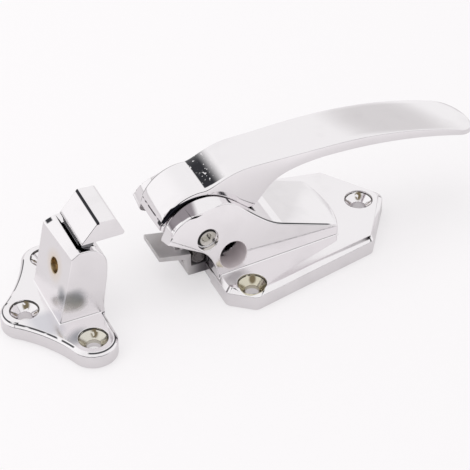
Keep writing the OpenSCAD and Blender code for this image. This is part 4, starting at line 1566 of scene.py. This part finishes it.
@dataclass
class Studio:
    """Pale floor, soft light from above and a camera at the photograph's angle."""

    azimuth: float = 24.99
    elevation: float = 39.63
    distance: float = 758.6 * MM
    aim_right: float = 17.69 * MM
    aim_up: float = 11.78 * MM
    aim_x: float = -44.5 * MM
    focal_px: float = 1926.1
    frame_px: float = 470.0
    sensor: float = 36.0
    floor_size: float = 8.0
    floor_z: float = -0.05 * MM
    floor_colour: Triple = (0.95, 0.925, 0.94)
    floor_roughness: float = 0.9
    floor_specular: float = 0.1
    floor_glow: float = 0.55
    floor_white: Triple = (1.0, 0.985, 0.993)
    # Painted shade in the floor as polished metal sees it near the latch.
    floor_reflected_shade: Triple = (0.70, 0.685, 0.69)
    floor_ys: Pair = mm(-105.0, -40.0)
    lamps: tuple[Lamp, ...] = (
        Lamp("top_softbox", place=(-0.10, 0.25, 0.9), size=0.8, power=2.2),
        Lamp("left_softbox", place=(-0.8, -0.1, 0.7), size=0.6, power=1.0),
    )
    lamp_aim: Triple = (-0.02, 0.0, 0.02)
    ambient: float = 0.74
    backdrop: Triple = (1.0, 0.985, 0.99)
    grey_side: Side = Side((0.76, 0.75, 0.75), azimuth=41.5, height=24.5, inner=5.0, outer=14.0)
    white_side: Side = Side((1.08, 1.08, 1.08), azimuth=-55.0, height=10.0, inner=25.0, outer=60.0)
    dark_side: Triple = (0.025, 0.025, 0.03)
    dark_height: float = 0.12
    dark_narrowing: float = 2.5
    dark_range: Pair = (0.06, 0.26)

    def build(self) -> None:
        """Makes the floor, the lights, the surroundings and the camera."""
        self.floor()
        for lamp in self.lamps:
            lamp.build(self.lamp_aim)
        self.surroundings()
        self.camera()
        bpy.context.scene.view_settings.view_transform = "Standard"

    def floor(self) -> None:
        """One large pale sheet under the latch, which keeps its shadows but reads as paper white; in
        reflections it has painted shade, darker near the latch.
        """
        half, below = 0.5 * self.floor_size, self.floor_z
        mesh = bpy.data.meshes.new("floor")
        corners = [(-half, -half, below), (half, -half, below), (half, half, below), (-half, half, below)]
        mesh.from_pydata(corners, [], [(0, 1, 2, 3)])
        material, shader = new_material("pale_floor")
        shader.inputs["Base Color"].default_value = (*self.floor_colour, 1.0)
        shader.inputs["Roughness"].default_value = self.floor_roughness
        shader.inputs["Specular IOR Level"].default_value = self.floor_specular
        nodes = Nodes(material.node_tree)
        rays = nodes.add("LightPath", {}).node.outputs
        across = nodes.parts(nodes.add("TexCoord", {}, "Object"))[Axis.Y]
        # Painted shade: the floor seen by glossy rays darkens towards the latch.
        near = nodes.times(nodes.ramp(across, self.floor_ys), rays["Is Glossy Ray"])
        white = nodes.add("Emission", {"Color": nodes.blend(near, self.floor_white, self.floor_reflected_shade)})
        seen = nodes.calc("MAXIMUM", rays["Is Camera Ray"], rays["Is Glossy Ray"])
        seen = nodes.calc("MAXIMUM", seen, rays["Is Transmission Ray"])
        glow = nodes.times(seen, self.floor_glow)
        mix = nodes.add("MixShader", {0: glow, 1: shader.outputs["BSDF"], 2: white})
        nodes.put(mix, nodes.tree.nodes["Material Output"].inputs["Surface"])
        mesh.materials.append(material)
        linked("floor", mesh)

    def axes(self) -> tuple[Vector, Vector, Vector]:
        """Right, up and forward of the camera.

        Returns:
            Three unit vectors.
        """
        turn = math.radians(self.azimuth)
        right = Vector((math.cos(turn), -math.sin(turn), 0.0))
        forward = Vector(heading(self.azimuth, -self.elevation))
        return right, right.cross(forward), forward

    def reflections(self, nodes: Nodes) -> Socket:
        """What polished metal sees: white to the left, grey to the right, dark on the camera's side.

        The dark part narrows in a straight line above and below its middle height.

        Args:
            nodes: The world's nodes.

        Returns:
            The colour in each direction.
        """
        place = nodes.add("TexCoord", {}, "Generated")
        colour: Socket | Triple = WHITE
        for side in (self.grey_side, self.white_side):
            colour = nodes.blend(side.share(nodes, place), colour, side.colour)
        front = nodes.dot(place, heading(self.azimuth + 0.5 * FULL_TURN, 0.0))
        rise = nodes.calc("SUBTRACT", nodes.parts(place)[Axis.Z], self.dark_height)
        away = nodes.times(nodes.calc("ABSOLUTE", rise), self.dark_narrowing)
        band = nodes.calc("SUBTRACT", front, away)
        return nodes.blend(nodes.ramp(band, self.dark_range), colour, self.dark_side)

    def surroundings(self) -> None:
        """Even pale world; polished metal sees its own set of sides."""
        world = bpy.data.worlds.new("studio")
        bpy.context.scene.world = world
        world.use_nodes = True
        nodes = Nodes(world.node_tree)
        nodes.tree.nodes.clear()
        mirror = nodes.add("Background", {"Color": self.reflections(nodes)})
        backdrop = nodes.add("Background", {"Color": (*self.backdrop, 1.0)})
        mixed = nodes.add("Background", {"Color": (*WHITE, 1.0), "Strength": self.ambient})
        rays = nodes.add("LightPath", {}).node.outputs
        for ray, shade in (
            ("Is Glossy Ray", mirror), ("Is Transmission Ray", backdrop), ("Is Camera Ray", backdrop),
        ):
            mixed = nodes.add("MixShader", {0: rays[ray], 1: mixed, 2: shade})
        output = nodes.tree.nodes.new("ShaderNodeOutputWorld")
        nodes.put(mixed, output.inputs["Surface"])

    def camera(self) -> None:
        """Camera at the photograph's place, with its lens."""
        right, up, forward = self.axes()
        aim = Vector((self.aim_x, 0.0, 0.0)) + right * self.aim_right + up * self.aim_up
        lens = bpy.data.cameras.new("camera")
        lens.sensor_width = self.sensor
        lens.lens = self.sensor * self.focal_px / self.frame_px
        holder = linked("camera", lens)
        turn = Matrix((right, up, -forward)).transposed()
        holder.matrix_world = Matrix.Translation(aim - forward * self.distance) @ turn.to_4x4()
        bpy.context.scene.camera = holder


def main() -> None:
    """Builds every sub-assembly in order."""
    logging.basicConfig(level=logging.INFO, format="%(name)s %(message)s")
    pivot = tuple(next(joint["pos_m"] for joint in frame["joints"] if joint["name"] == "handle_pull"))
    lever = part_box("handle_lever")[1]
    Studio().build()
    Housing(pivot).build()
    Handle(pivot, lever.x, lever.z).build()
    BoltTrain(pivot).build()
    Strike().build()


if __name__ == "__main__":
    main()
